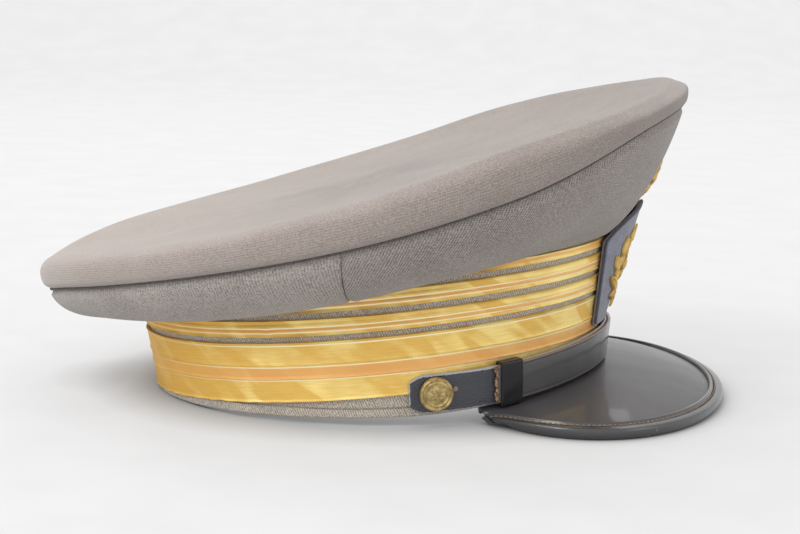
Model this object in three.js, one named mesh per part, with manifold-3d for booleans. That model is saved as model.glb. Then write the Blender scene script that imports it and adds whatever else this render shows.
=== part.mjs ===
// Officer's peaked service cap: a raised grey cloth crown over a laced band, with a black leather
// peak and chin strap. Millimetres, +Z up, +X to the front, +Y to the wearer's left.
// The origin lies on the resting surface, under the middle of the cap.
import * as THREE from 'three';
import { mergeVertices } from 'three/addons/utils/BufferGeometryUtils.js';
import Module from 'manifold-3d';

const wasm = await Module();
wasm.setup();

// Driving dimensions, in millimetres and degrees

// Fit between pieces and the fineness of the facets
const GAP = 0.3;
const COLUMNS = 48;

// Head band: an oval wall of cloth over a stiffener, pitched a little back
const BAND_LENGTH = 202.2;
const BAND_WIDTH = 168.8;
const BAND_CENTRE = -1.6;
const BAND_WALL = 2.4;
const BAND_PITCH = 2.3;
const BAND_LEAN = 3.4;
const BAND_LEAN_ENDS = 4.2;
const HEM_PRESS = 0.6;
const HEM_ARCH = 9.6;
const HEM_ARCH_HALF_ANGLE = 82;

// Grey cloth strip that shows under the laces, at its middle height and how much it widens to the front
const STRIP_HEIGHT = 8.8;
const STRIP_RISE = 7.1;

// Gold laces, from the bottom up
const WIDE_LACE = 26.4;
const NARROW_LACE = 7.6;
const TOP_LACE = 4;
const WIDE_LACE_SPACE = 2.2;
const NARROW_LACE_SPACE = 2.4;
const LACE_THICKNESS = 0.8;

// Crown: the seam ring between the quarters and the roof
const CROWN_LENGTH = 292.5;
const CROWN_WIDTH = 243;
const CROWN_CENTRE = -8.2;
const CROWN_EGG = 0.13;
const CROWN_RISE = 135.8;
const CLOTH_WALL = 2.2;
const ROLL_HEIGHT = 16;
const ROLL_OVERHANG = 4;
const ROLL_SHOULDER = 9;
const ROOF_SAG = 4;
const ROOF_CENTRE_HEIGHT = 95;
const QUARTER_DROOP = 33;
const QUARTER_FLARE = 10;
const SIDE_SEAM_AZIMUTH = 90;

// Leather peak and its binding
const PEAK_CENTRE = 94.5;
const PEAK_REACH = 66;
const PEAK_WIDTH = 195;
const PEAK_HALF_ANGLE = 60;
const PEAK_RIM_HALF_ANGLE = 129;
const PEAK_LEATHER = 2.4;
const PEAK_DOME = 3;
const BINDING_LEG = 6;
const BINDING_LEATHER = 1;
const BINDING_HALF_SHARE = 0.9;

// Chin strap in two lengths, each buttoned at one side and held in the other's keeper
const STRAP_WIDTH = 16.8;
const STRAP_LEATHER = 1.6;
const STRAP_END_HEIGHT = 10.2;
const STRAP_RISE = 8.5;
const STRAP_BUTTON_AZIMUTH = 72;
const STRAP_END_AZIMUTH = 78.4;
const STRAP_INNER_END_AZIMUTH = 57;
const KEEPER_LENGTH = 10;
const KEEPER_LEATHER = 1;
const KEEPER_SLACK = 0.4;

// Side buttons
const BUTTON_DIAMETER = 14.8;
const BUTTON_HEIGHT = 4.2;
const POST_DIAMETER = 2.6;
const POST_CLEARANCE = 0.35;

// Embroidered badge on the front of the band, and the small rosette above it on the crown
const BADGE_HALF_WIDTH = 26;
const BADGE_HEIGHT = 54;
const BADGE_ARCH = 15;
const BADGE_FELT = 2;
const BADGE_TOP_OFFSET = 12.2;
const EMBROIDERY_THICKNESS = 1.4;
const WREATH_RADIUS = 15.5;
const LEAF_LENGTH = 9;
const LEAF_WIDTH = 4.2;
const ROSETTE_DIAMETER = 15;
const COCKADE_DIAMETER = 17;
const COCKADE_HEIGHT = 100;
const PETALS = 8;
const LEAF_PAIRS = 6;
const WREATH_OPENING = 28;
const STEM_WIDTH = 1.8;
const BADGE_CENTRE_HEIGHT = 23.8;

// Shares of the crown's sizes, one row for each azimuth from the front (0) to the rear (180).
// seam: seam height over CROWN_RISE. roll: height of the rolled rim over ROLL_HEIGHT.
// overhang: over ROLL_OVERHANG. sag: over ROOF_SAG.
const RIM_STATIONS = [
  { azimuth: 0, seam: 1.0, roll: 0.55, overhang: 0.3, sag: 1.1 },
  { azimuth: 30, seam: 0.951, roll: 0.56, overhang: 0.35, sag: 1.1 },
  { azimuth: 60, seam: 0.766, roll: 1.22, overhang: 0.5, sag: 1.0 },
  { azimuth: 90, seam: 0.598, roll: 1.12, overhang: 0.6, sag: 0.8 },
  { azimuth: 120, seam: 0.471, roll: 0.96, overhang: 0.75, sag: 0.6 },
  { azimuth: 150, seam: 0.376, roll: 1.0, overhang: 0.9, sag: 0.5 },
  { azimuth: 180, seam: 0.314, roll: 1.05, overhang: 1.0, sag: 0.5 },
];

// Shares for the quarters at the same azimuths. lowOut and lowUp: the lower curve handle over QUARTER_FLARE
// and QUARTER_DROOP. topIn and topDown: the upper handle over the same two.
const QUARTER_STATIONS = [
  { azimuth: 0, lowOut: 1.0, lowUp: 0.24, topIn: 0.6, topDown: 0.73 },
  { azimuth: 30, lowOut: 0.9, lowUp: 0.1, topIn: 0.6, topDown: 0.73 },
  { azimuth: 60, lowOut: 0.5, lowUp: -0.2, topIn: 0.55, topDown: 0.8 },
  { azimuth: 90, lowOut: 0, lowUp: -0.46, topIn: 0.6, topDown: 0.82 },
  { azimuth: 120, lowOut: 0, lowUp: -0.68, topIn: 0.6, topDown: 0.7 },
  { azimuth: 150, lowOut: 0.1, lowUp: -0.76, topIn: 0.5, topDown: 0.52 },
  { azimuth: 180, lowOut: 0.2, lowUp: -0.84, topIn: 0.5, topDown: 0.5 },
];

// The rolled rim from the seam up: out as a share of the local overhang, up as a share of the local roll
const ROLL_ROWS = [
  { out: 0, up: 0, shoulder: 0 },
  { out: 0.8, up: 0.2, shoulder: 0 },
  { out: 1, up: 0.48, shoulder: 0 },
  { out: 0.5, up: 0.76, shoulder: 0 },
  { out: 0, up: 0.93, shoulder: 0.35 },
  { out: 0, up: 1, shoulder: 1 },
];

// Rows of the roof from the ridge to the centre, as shares of the ridge's distance
const ROOF_ROWS = [0.9, 0.76, 0.55, 0.32, 0.14];

// Faces that other pieces rest on, as distances out from the band's cloth
const LACE_FACE = GAP + LACE_THICKNESS;
const RESTING = LACE_FACE + GAP;

const QUARTER_ROWS = 6;
const PEAK_COLUMNS = 26;
const STRAP_STEP = 5;
const FULL_TURN = 360;

const rad = THREE.MathUtils.degToRad;
const lerp = THREE.MathUtils.lerp;
const smooth = THREE.MathUtils.smoothstep;

// Angles for the columns of a ring, or of a run between two azimuths
const ringAzimuths = Array.from({ length: COLUMNS }, (_, i) => (FULL_TURN * i) / COLUMNS);

function runAzimuths(from, to, step) {
  const count = Math.max(2, Math.round((to - from) / step));
  return Array.from({ length: count + 1 }, (_, i) => lerp(from, to, i / count));
}

// A wall between two grids of points of equal size, outer[i][k] and inner[i][k]. The columns i close
// on themselves when round is set; otherwise the wall has two ends. When pole is set the last row is
// one point on each side, so the wall has no edge there.
function wallGeometry(outer, inner, { round = false, pole = false } = {}) {
  const columns = outer.length;
  const rows = outer[0].length;
  const positions = [];
  const quad = (a, b, c, d) => {
    positions.push(...a, ...b, ...c, ...a, ...c, ...d);
  };
  const spans = round ? columns : columns - 1;
  for (let i = 0; i < spans; i += 1) {
    const j = (i + 1) % columns;
    for (let k = 0; k < rows - 1; k += 1) {
      quad(outer[i][k], outer[j][k], outer[j][k + 1], outer[i][k + 1]);
      quad(inner[i][k], inner[i][k + 1], inner[j][k + 1], inner[j][k]);
    }
    quad(outer[j][0], outer[i][0], inner[i][0], inner[j][0]);
    if (!pole) {
      const last = rows - 1;
      quad(outer[i][last], outer[j][last], inner[j][last], inner[i][last]);
    }
  }
  if (!round) {
    const end = columns - 1;
    for (let k = 0; k < rows - 1; k += 1) {
      quad(outer[0][k], outer[0][k + 1], inner[0][k + 1], inner[0][k]);
      quad(outer[end][k + 1], outer[end][k], inner[end][k], inner[end][k + 1]);
    }
  }
  return closeUp(positions);
}

// Merges equal points, drops triangles without area and turns the faces outwards
function closeUp(positions) {
  const loose = new THREE.BufferGeometry();
  loose.setAttribute('position', new THREE.Float32BufferAttribute(positions, 3));
  const merged = mergeVertices(loose, 1e-3);
  const index = merged.index.array;
  const at = (v) => new THREE.Vector3().fromBufferAttribute(merged.attributes.position, v);
  const kept = [];
  let volume = 0;
  for (let f = 0; f < index.length; f += 3) {
    const [a, b, c] = [index[f], index[f + 1], index[f + 2]];
    if (a !== b && b !== c && a !== c) {
      kept.push(a, b, c);
      volume += at(a).dot(at(b).cross(at(c)));
    }
  }
  if (volume < 0) kept.reverse();
  merged.setIndex(kept);
  return merged;
}

// The same grid moved along its own normals, which point to the side that cross(column, row) gives
function offsetGrid(grid, distance, { round = false, pole = false } = {}) {
  const columns = grid.length;
  const rows = grid[0].length;
  const near = (i) => (round ? (i + columns) % columns : THREE.MathUtils.clamp(i, 0, columns - 1));
  return grid.map((line, i) =>
    line.map((point, k) => {
      if (pole && k === rows - 1) {
        return new THREE.Vector3(point.x, point.y, point.z + distance);
      }
      const along = new THREE.Vector3().subVectors(grid[near(i + 1)][k], grid[near(i - 1)][k]);
      const up = new THREE.Vector3().subVectors(line[Math.min(k + 1, rows - 1)], line[Math.max(k - 1, 0)]);
      const normal = along.cross(up).normalize();
      return point.clone().addScaledVector(normal, distance);
    }),
  );
}

// A smooth column of a station table at any azimuth, the same on both sides of the cap
function stationCurve(table, column) {
  const mirrored = [
    ...table.slice(1, -1).reverse().map((row) => ({ ...row, azimuth: -row.azimuth })),
    ...table,
  ];
  const curve = new THREE.CatmullRomCurve3(
    mirrored.map((row) => new THREE.Vector3(row[column], 0, 0)),
    true,
    'catmullrom',
    0.5,
  );
  const first = mirrored[0].azimuth;
  return (azimuth) => {
    const share = THREE.MathUtils.euclideanModulo(azimuth - first, FULL_TURN) / FULL_TURN;
    return curve.getPoint(share).x;
  };
}

const station = Object.fromEntries(
  [RIM_STATIONS, QUARTER_STATIONS].flatMap((table) =>
    Object.keys(table[0])
      .filter((key) => key !== 'azimuth')
      .map((key) => [key, stationCurve(table, key)]),
  ),
);

// Band surface: azimuth, height along the wall from the level hem, and distance out from the cloth
function onBand(azimuth, up, out = 0) {
  const [c, s] = [Math.cos(rad(azimuth)), Math.sin(rad(azimuth))];
  const [a, b] = [BAND_LENGTH / 2, BAND_WIDTH / 2];
  const normal = new THREE.Vector2(b * c, a * s).normalize();
  const lean = rad(BAND_LEAN + BAND_LEAN_ENDS * Math.cos(2 * rad(azimuth)));
  const reach = Math.sin(lean) * up + out;
  const x = a * c + normal.x * reach + a;
  const z = Math.cos(lean) * up;
  const pitch = rad(BAND_PITCH);
  return new THREE.Vector3(
    x * Math.cos(pitch) - z * Math.sin(pitch) - a + BAND_CENTRE,
    b * s + normal.y * reach,
    x * Math.sin(pitch) + z * Math.cos(pitch) - HEM_PRESS,
  );
}

const signedAzimuth = (azimuth) => THREE.MathUtils.euclideanModulo(azimuth + 180, FULL_TURN) - 180;

// Levels up the band wall at an azimuth
function hemLevel(azimuth) {
  const away = Math.min(1, Math.abs(signedAzimuth(azimuth)) / HEM_ARCH_HALF_ANGLE);
  return HEM_ARCH * Math.cos((Math.PI / 2) * away) ** 2;
}

const wideBottom = (azimuth) => STRIP_HEIGHT + STRIP_RISE * Math.cos(rad(azimuth));
const wideTop = (azimuth) => wideBottom(azimuth) + WIDE_LACE;
const narrowBottom = (azimuth, n) =>
  wideTop(azimuth) + WIDE_LACE_SPACE + n * (NARROW_LACE + NARROW_LACE_SPACE);
const topLaceTop = (azimuth) => narrowBottom(azimuth, 2) + TOP_LACE;
const bandTop = (azimuth) => topLaceTop(azimuth) + GAP;

// Crown seam: where the roof is sewn to the quarters
function seamPoint(azimuth) {
  const [c, s] = [Math.cos(rad(azimuth)), Math.sin(rad(azimuth))];
  return new THREE.Vector3(
    CROWN_CENTRE + (CROWN_LENGTH / 2) * c,
    (CROWN_WIDTH / 2) * s * (1 + CROWN_EGG * c),
    CROWN_RISE * station.seam(azimuth),
  );
}

const outwards = (azimuth) => {
  const point = seamPoint(azimuth);
  return new THREE.Vector3(point.x - CROWN_CENTRE, point.y, 0).normalize();
};

// Outer skin of the roof at one azimuth, from the seam over the rolled rim to the centre
function roofColumn(azimuth) {
  const seam = seamPoint(azimuth);
  const out = outwards(azimuth);
  const overhang = ROLL_OVERHANG * station.overhang(azimuth);
  const roll = ROLL_HEIGHT * station.roll(azimuth);
  const rim = ROLL_ROWS.map((row) =>
    seam
      .clone()
      .addScaledVector(out, row.out * overhang - row.shoulder * ROLL_SHOULDER)
      .setZ(seam.z + GAP / 2 + row.up * roll),
  );
  const ridge = rim.at(-1);
  const centre = new THREE.Vector3(CROWN_CENTRE, 0, ROOF_CENTRE_HEIGHT);
  const roof = ROOF_ROWS.map((share) => {
    const point = centre.clone().lerp(ridge, share);
    point.z -= ROOF_SAG * station.sag(azimuth) * Math.sin(Math.PI * share ** 1.7);
    return point;
  });
  return [...rim, ...roof, centre];
}

// Outer skin of the quarters at one azimuth, from the band's top edge to the seam
function quarterColumn(azimuth) {
  const low = onBand(azimuth, bandTop(azimuth) + GAP, RESTING);
  const seam = seamPoint(azimuth);
  const top = seam.clone().setZ(seam.z - GAP / 2);
  const out = outwards(azimuth);
  const lowHandle = low
    .clone()
    .addScaledVector(out, QUARTER_FLARE * station.lowOut(azimuth))
    .add(new THREE.Vector3(0, 0, QUARTER_DROOP * station.lowUp(azimuth)));
  const topHandle = top
    .clone()
    .addScaledVector(out, -QUARTER_FLARE * station.topIn(azimuth))
    .add(new THREE.Vector3(0, 0, -QUARTER_DROOP * station.topDown(azimuth)));
  return new THREE.CubicBezierCurve3(low, lowHandle, topHandle, top).getPoints(QUARTER_ROWS);
}

// Pieces

function bandCloth() {
  const levels = (azimuth) => [
    hemLevel(azimuth),
    wideBottom(azimuth),
    wideTop(azimuth),
    narrowBottom(azimuth, 1),
    narrowBottom(azimuth, 2),
    bandTop(azimuth),
  ];
  const skin = (out) =>
    ringAzimuths.map((azimuth) =>
      levels(azimuth).map((level) => {
        const point = onBand(azimuth, level, out);
        return point.setZ(Math.max(point.z, 0));
      }),
    );
  return wallGeometry(skin(0), skin(-BAND_WALL), { round: true });
}

function lace(bottom, top) {
  const skin = (out) =>
    ringAzimuths.map((azimuth) => [bottom, top].map((level) => onBand(azimuth, level(azimuth), out)));
  return wallGeometry(skin(GAP + LACE_THICKNESS), skin(GAP), { round: true });
}

function crownRoof() {
  const outer = ringAzimuths.map(roofColumn);
  const shape = { round: true, pole: true };
  return wallGeometry(outer, offsetGrid(outer, -CLOTH_WALL, shape), shape);
}

function quarter(from, to) {
  const halfGap = THREE.MathUtils.radToDeg(GAP / CROWN_WIDTH);
  const azimuths = runAzimuths(from, to, FULL_TURN / COLUMNS);
  azimuths[0] += halfGap;
  azimuths[azimuths.length - 1] -= halfGap;
  const outer = azimuths.map(quarterColumn);
  return wallGeometry(outer, offsetGrid(outer, -CLOTH_WALL));
}

// The peak's middle surface at a share of its half angle, from under the hem out to its rim
function peakColumn(share) {
  const azimuth = share * PEAK_HALF_ANGLE;
  const level = hemLevel(azimuth) - GAP - PEAK_LEATHER / 2;
  const start = onBand(azimuth, level, -BAND_WALL * 0.7);
  const shelf = onBand(azimuth, level, GAP);
  const turn = rad(share * PEAK_RIM_HALF_ANGLE);
  const inset = BINDING_LEATHER + GAP;
  const rim = new THREE.Vector3(
    PEAK_CENTRE + (PEAK_REACH - inset) * Math.cos(turn),
    (PEAK_WIDTH / 2 - inset) * Math.sin(turn),
    PEAK_LEATHER / 2 + inset,
  );
  const width = shelf.distanceTo(rim);
  const flat = 1 - Math.min(0.5, (BINDING_LEG + 2) / width);
  const dome = 4 * PEAK_DOME * Math.min(1, width / PEAK_REACH);
  const shares = [0, flat / 3, (flat * 2) / 3, flat];
  const inside = shares.map((v) => {
    const point = shelf.clone().lerp(rim, v);
    point.z += dome * v * (1 - v);
    return point;
  });
  return [start, ...inside, rim];
}

const peakShares = runAzimuths(-1, 1, 2 / PEAK_COLUMNS);

function peak() {
  const middle = peakShares.map(peakColumn);
  return wallGeometry(offsetGrid(middle, PEAK_LEATHER / 2), offsetGrid(middle, -PEAK_LEATHER / 2));
}

// A folded strip of leather round the peak's rim: a C-shaped section carried along the edge
function peakBinding() {
  const inner = GAP + PEAK_LEATHER / 2;
  const outer = inner + BINDING_LEATHER;
  const profile = (level, nose) => [
    [-BINDING_LEG, level],
    [0, level],
    [nose * 0.75, level * 0.6],
    [nose, 0],
    [nose * 0.75, -level * 0.6],
    [0, -level],
    [-BINDING_LEG, -level],
  ];
  const columns = peakShares.map(peakColumn);
  const place = (points) => {
    const skin = [];
    columns.forEach((column, i) => {
      if (Math.abs(peakShares[i]) > BINDING_HALF_SHARE) return;
      const rim = column.at(-1);
      const outward = rim.clone().sub(column.at(-2)).normalize();
      const along = columns[i + 1].at(-1).clone().sub(columns[i - 1].at(-1));
      const normal = along.cross(outward).normalize();
      if (normal.z < 0) normal.negate();
      skin.push(points.map(([o, n]) => rim.clone().addScaledVector(outward, o).addScaledVector(normal, n)));
    });
    return skin;
  };
  return wallGeometry(place(profile(outer, GAP + BINDING_LEATHER)), place(profile(inner, GAP)));
}

// Chin strap

const strapMiddle = (azimuth) => {
  const away = Math.min(1, Math.abs(azimuth) / (STRAP_END_AZIMUTH + 4));
  return STRAP_END_HEIGHT + STRAP_RISE * Math.cos((Math.PI / 2) * away) ** 2;
};
const UNDER_FACE = RESTING + KEEPER_LEATHER + GAP;
const OVER_FACE = UNDER_FACE + STRAP_LEATHER + GAP;
const FADE = 12;

// Distance of a strap's inner face from the band cloth: it comes down to the lace at its button.
// The over strap lies on the under strap as far as the under strap's end.
const underFace = (azimuth) =>
  lerp(UNDER_FACE, RESTING, smooth(-azimuth, STRAP_BUTTON_AZIMUTH - FADE, STRAP_BUTTON_AZIMUTH - 2));
const overFace = (azimuth) =>
  lerp(OVER_FACE, RESTING, smooth(azimuth, STRAP_BUTTON_AZIMUTH - FADE, STRAP_BUTTON_AZIMUTH - 2));

// Half width near the buttoned end, where the corners are clipped round
function strapHalf(fromEnd) {
  const share = THREE.MathUtils.clamp(fromEnd / (STRAP_WIDTH * 0.32), 0, 1);
  return (STRAP_WIDTH / 2) * lerp(0.5, 1, Math.sqrt(share));
}

function strap(side, face) {
  const end = STRAP_END_AZIMUTH;
  const azimuths = [
    ...[0, 0.6, 1.6, 3.4].map((step) => -end + step),
    ...runAzimuths(-end + 5.5, STRAP_INNER_END_AZIMUTH, STRAP_STEP),
  ];
  const degreesToLength = rad(1) * (BAND_WIDTH / 2 + 8);
  const skin = (extra) =>
    azimuths.map((azimuth) => {
      const real = side * azimuth;
      const half = strapHalf((azimuth + end) * degreesToLength);
      const middle = strapMiddle(real);
      return [-half, half].map((up) => onBand(real, middle + up, face(real) + extra));
    });
  return wallGeometry(skin(STRAP_LEATHER), skin(0));
}

// Keeper: a leather loop round both straps, stitched to the end of one of them
function keeper(side) {
  const half = STRAP_WIDTH / 2 + KEEPER_SLACK;
  const degrees = THREE.MathUtils.radToDeg(KEEPER_LENGTH / (BAND_WIDTH / 2 + 12));
  const azimuths = runAzimuths(0, degrees, degrees / 2).map(
    (step) => side * (STRAP_INNER_END_AZIMUTH - 1 - step),
  );
  const loop = (grow) => {
    const low = UNDER_FACE - GAP - grow;
    const high = OVER_FACE + STRAP_LEATHER + GAP + grow;
    const wide = half + grow;
    return [
      [-wide, low],
      [0, low],
      [wide, low],
      [wide, high],
      [0, high],
      [-wide, high],
    ];
  };
  const skin = (grow) =>
    loop(grow).map(([up, out]) =>
      azimuths.map((azimuth) => onBand(azimuth, strapMiddle(azimuth) + up, out)),
    );
  return wallGeometry(skin(KEEPER_LEATHER), skin(0), { round: true });
}

// Solids that are cut or joined

function solidFrom(geometry) {
  const plain = geometry.index ? geometry.toNonIndexed() : geometry.clone();
  const bare = new THREE.BufferGeometry().setAttribute('position', plain.getAttribute('position'));
  const merged = mergeVertices(bare, 1e-4);
  return new wasm.Manifold(
    new wasm.Mesh({
      numProp: 3,
      vertProperties: new Float32Array(merged.attributes.position.array),
      triVerts: new Uint32Array(merged.index.array),
    }),
  );
}

function geometryFrom(solid) {
  const mesh = solid.getMesh();
  const geometry = new THREE.BufferGeometry();
  geometry.setAttribute('position', new THREE.BufferAttribute(new Float32Array(mesh.vertProperties), 3));
  geometry.setIndex(new THREE.BufferAttribute(new Uint32Array(mesh.triVerts), 1));
  return geometry;
}

const join = (geometries) => geometryFrom(geometries.map(solidFrom).reduce((sum, solid) => sum.add(solid)));
const cut = (geometry, tool) => geometryFrom(solidFrom(geometry).subtract(solidFrom(tool)));

// A frame at a point of the band whose Z axis points straight out of the wall
function bandFrame(azimuth, up, out) {
  const origin = onBand(azimuth, up, out);
  const outward = onBand(azimuth, up, out + 1).sub(origin).normalize();
  const lift = onBand(azimuth, up + 1, out).sub(origin).normalize();
  const side = new THREE.Vector3().crossVectors(lift, outward).normalize();
  const rise = new THREE.Vector3().crossVectors(outward, side);
  return new THREE.Matrix4().makeBasis(side, rise, outward).setPosition(origin);
}

function buttonHole(azimuth) {
  const radius = POST_DIAMETER / 2 + POST_CLEARANCE;
  const hole = new THREE.CylinderGeometry(radius, radius, 4 * STRAP_LEATHER, 12);
  hole.rotateX(Math.PI / 2);
  return hole.applyMatrix4(bandFrame(azimuth, strapMiddle(azimuth), RESTING + STRAP_LEATHER / 2));
}

// Button: a shallow domed face with a raised rim and ring, and a post that passes through the strap
function button() {
  const radius = BUTTON_DIAMETER / 2;
  const post = POST_DIAMETER / 2;
  const foot = -(STRAP_LEATHER + GAP);
  const profile = [
    [0, foot],
    [post, foot],
    [post, GAP],
    [radius * 0.86, GAP],
    [radius, BUTTON_HEIGHT * 0.38],
    [radius * 0.97, BUTTON_HEIGHT * 0.66],
    [radius * 0.88, BUTTON_HEIGHT * 0.8],
    [radius * 0.8, BUTTON_HEIGHT * 0.72],
    [radius * 0.66, BUTTON_HEIGHT * 0.84],
    [radius * 0.6, BUTTON_HEIGHT * 0.78],
    [radius * 0.3, BUTTON_HEIGHT * 0.95],
    [0, BUTTON_HEIGHT],
  ].map(([r, h]) => new THREE.Vector2(r, h));
  return new THREE.LatheGeometry(profile, 16).rotateX(Math.PI / 2);
}

// Badge: width is measured round the band in millimetres, height from the badge's foot

const BADGE_FOOT = strapMiddle(0) + STRAP_WIDTH / 2 + 2 * GAP;

function onBadge(width, height, out) {
  const azimuth = THREE.MathUtils.radToDeg(width / (BAND_WIDTH / 2));
  const top = BADGE_HEIGHT;
  const middle = lerp(RESTING, BADGE_TOP_OFFSET, Math.max(0, height) / top);
  const side = THREE.MathUtils.clamp(width / BADGE_HALF_WIDTH, -1, 1) ** 2;
  return onBand(azimuth, BADGE_FOOT + height, lerp(middle, RESTING, 0.9 * side) + out);
}

// The patch's height at a distance from its middle: straight sides under a pointed arch
const badgeTop = (width) => {
  const share = Math.min(1, Math.abs(width) / BADGE_HALF_WIDTH);
  return BADGE_HEIGHT - BADGE_ARCH * (0.55 * share + 0.45 * share ** 4);
};

function badgeBacking() {
  const skin = (out) =>
    runAzimuths(-1, 1, 0.2).map((across) => {
      const lines = [0, 0.25, 0.5, 0.75, 1];
      const width = across * BADGE_HALF_WIDTH;
      return lines.map((line) => onBadge(width, line * badgeTop(width), out));
    });
  return wallGeometry(skin(BADGE_FELT), skin(0));
}

// A flat figure made on the XY plane is laid on a curved surface by place(x, y, z)
function bend(geometry, place) {
  const { position } = geometry.attributes;
  for (let i = 0; i < position.count; i += 1) {
    const point = place(position.getX(i), position.getY(i), position.getZ(i));
    position.setXYZ(i, point.x, point.y, point.z);
  }
  return geometry;
}

// One embroidered leaf: a pointed oval, higher along its middle
function leaf(length, width, thickness) {
  const shape = new THREE.Shape();
  shape.moveTo(0, 0);
  shape.quadraticCurveTo(length * 0.4, width * 0.75, length, 0);
  shape.quadraticCurveTo(length * 0.4, -width * 0.75, 0, 0);
  const bevel = thickness * 0.45;
  return new THREE.ExtrudeGeometry(shape, {
    depth: thickness - bevel,
    curveSegments: 2,
    bevelThickness: bevel / 2,
    bevelSize: width * 0.12,
    bevelOffset: -width * 0.12,
    bevelSegments: 1,
  }).translate(0, 0, bevel / 2);
}

// An open laurel wreath: a stem bent into most of a ring, with pairs of leaves along it
function wreath() {
  const stemHalf = STEM_WIDTH / 2;
  const stem = new THREE.Shape();
  const [from, to] = [rad(90 + WREATH_OPENING), rad(450 - WREATH_OPENING)];
  stem.absarc(0, 0, WREATH_RADIUS + stemHalf, from, to, false);
  stem.absarc(0, 0, WREATH_RADIUS - stemHalf, to, from, true);
  const pieces = [
    new THREE.ExtrudeGeometry(stem, {
      depth: EMBROIDERY_THICKNESS * 0.7,
      curveSegments: 16,
      bevelEnabled: false,
    }),
  ];
  for (const side of [-1, 1]) {
    for (let n = 0; n < LEAF_PAIRS; n += 1) {
      const along = lerp(-80, 90 - WREATH_OPENING, n / (LEAF_PAIRS - 1));
      const place = rad(side > 0 ? along : 180 - along);
      for (const turn of [-0.55, 0.55]) {
        const blade = leaf(LEAF_LENGTH, LEAF_WIDTH, EMBROIDERY_THICKNESS);
        blade.translate(-LEAF_LENGTH * 0.2, 0, 0);
        blade.rotateZ(place + side * (Math.PI / 2) + turn);
        pieces.push(blade.translate(WREATH_RADIUS * Math.cos(place), WREATH_RADIUS * Math.sin(place), 0));
      }
    }
  }
  return join(pieces);
}

// A round rosette with petals about a raised centre
function rosette(diameter, petals) {
  const pieces = [
    new THREE.CylinderGeometry(diameter * 0.2, diameter * 0.24, EMBROIDERY_THICKNESS * 1.5, 12)
      .rotateX(Math.PI / 2)
      .translate(0, 0, EMBROIDERY_THICKNESS * 0.75),
  ];
  for (let n = 0; n < petals; n += 1) {
    const petal = leaf(diameter / 2, diameter * 0.3, EMBROIDERY_THICKNESS);
    pieces.push(petal.rotateZ((2 * Math.PI * n) / petals));
  }
  return join(pieces);
}

function badgeWreath() {
  return bend(wreath(), (x, y, z) => onBadge(x, BADGE_CENTRE_HEIGHT + y, BADGE_FELT + GAP + z));
}

function badgeRosette() {
  return bend(rosette(ROSETTE_DIAMETER, PETALS), (x, y, z) =>
    onBadge(x, BADGE_CENTRE_HEIGHT + y, BADGE_FELT + GAP + z),
  );
}

// The cockade lies on the front quarter: width round the crown, height up the cloth
function onFrontQuarter(width, height, out) {
  const azimuth = THREE.MathUtils.radToDeg(width / (CROWN_LENGTH / 2 - 30));
  const pointAt = (turn, z) => {
    const column = quarterColumn(turn);
    const k = Math.max(1, column.findIndex((point) => point.z > z));
    const [below, above] = [column[k - 1], column[k]];
    return below.clone().lerp(above, (z - below.z) / (above.z - below.z));
  };
  const here = pointAt(azimuth, height);
  const up = pointAt(azimuth, height + 1).sub(here);
  const along = pointAt(azimuth + 1, height).sub(here);
  return here.addScaledVector(along.cross(up).normalize(), out);
}

function cockade() {
  return bend(rosette(COCKADE_DIAMETER, PETALS), (x, y, z) =>
    onFrontQuarter(x, COCKADE_HEIGHT + y, 2 * GAP + z),
  );
}

// Materials

const finish = (color, roughness, metalness = 0) =>
  new THREE.MeshStandardMaterial({ color, roughness, metalness });
const GREY_CLOTH = 0xa89c93;
const BAND_GREY = 0x8f8980;
const GOLD_LACE = 0xc9a04e;
const BULLION = 0xd6ab45;
const BLACK_LEATHER = 0x17181b;
const WORN_LEATHER = 0x23262e;
const AGED_BRASS = 0x9a8350;
const FELT_BLUE = 0x7b7c8a;

// Assembly

const cap = new THREE.Group();

function add(parent, name, geometry, material) {
  const mesh = new THREE.Mesh(geometry, material);
  mesh.name = name;
  parent.add(mesh);
  return mesh;
}

const crown = new THREE.Group();
cap.add(crown);
add(crown, 'crown_top', crownRoof(), finish(GREY_CLOTH, 0.95));
add(crown, 'quarter_front', quarter(-SIDE_SEAM_AZIMUTH, SIDE_SEAM_AZIMUTH), finish(GREY_CLOTH, 0.95));
const rear = quarter(SIDE_SEAM_AZIMUTH, FULL_TURN - SIDE_SEAM_AZIMUTH);
add(crown, 'quarter_rear', rear, finish(GREY_CLOTH, 0.95));
add(crown, 'crown_cockade', cockade(), finish(BULLION, 0.45, 0.7));

const band = new THREE.Group();
cap.add(band);
add(band, 'band_cloth', bandCloth(), finish(BAND_GREY, 0.95));
add(band, 'lace_wide', lace(wideBottom, wideTop), finish(GOLD_LACE, 0.5, 0.6));
for (const n of [0, 1]) {
  const bottom = (azimuth) => narrowBottom(azimuth, n);
  const top = (azimuth) => narrowBottom(azimuth, n) + NARROW_LACE;
  add(band, `lace_narrow_${n + 1}`, lace(bottom, top), finish(GOLD_LACE, 0.5, 0.6));
}
const topLace = lace((azimuth) => narrowBottom(azimuth, 2), topLaceTop);
add(band, 'lace_narrow_3', topLace, finish(GOLD_LACE, 0.5, 0.6));
add(band, 'badge_backing', badgeBacking(), finish(FELT_BLUE, 0.95));
add(band, 'badge_wreath', badgeWreath(), finish(BULLION, 0.45, 0.7));
add(band, 'badge_rosette', badgeRosette(), finish(BULLION, 0.45, 0.7));

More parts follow.
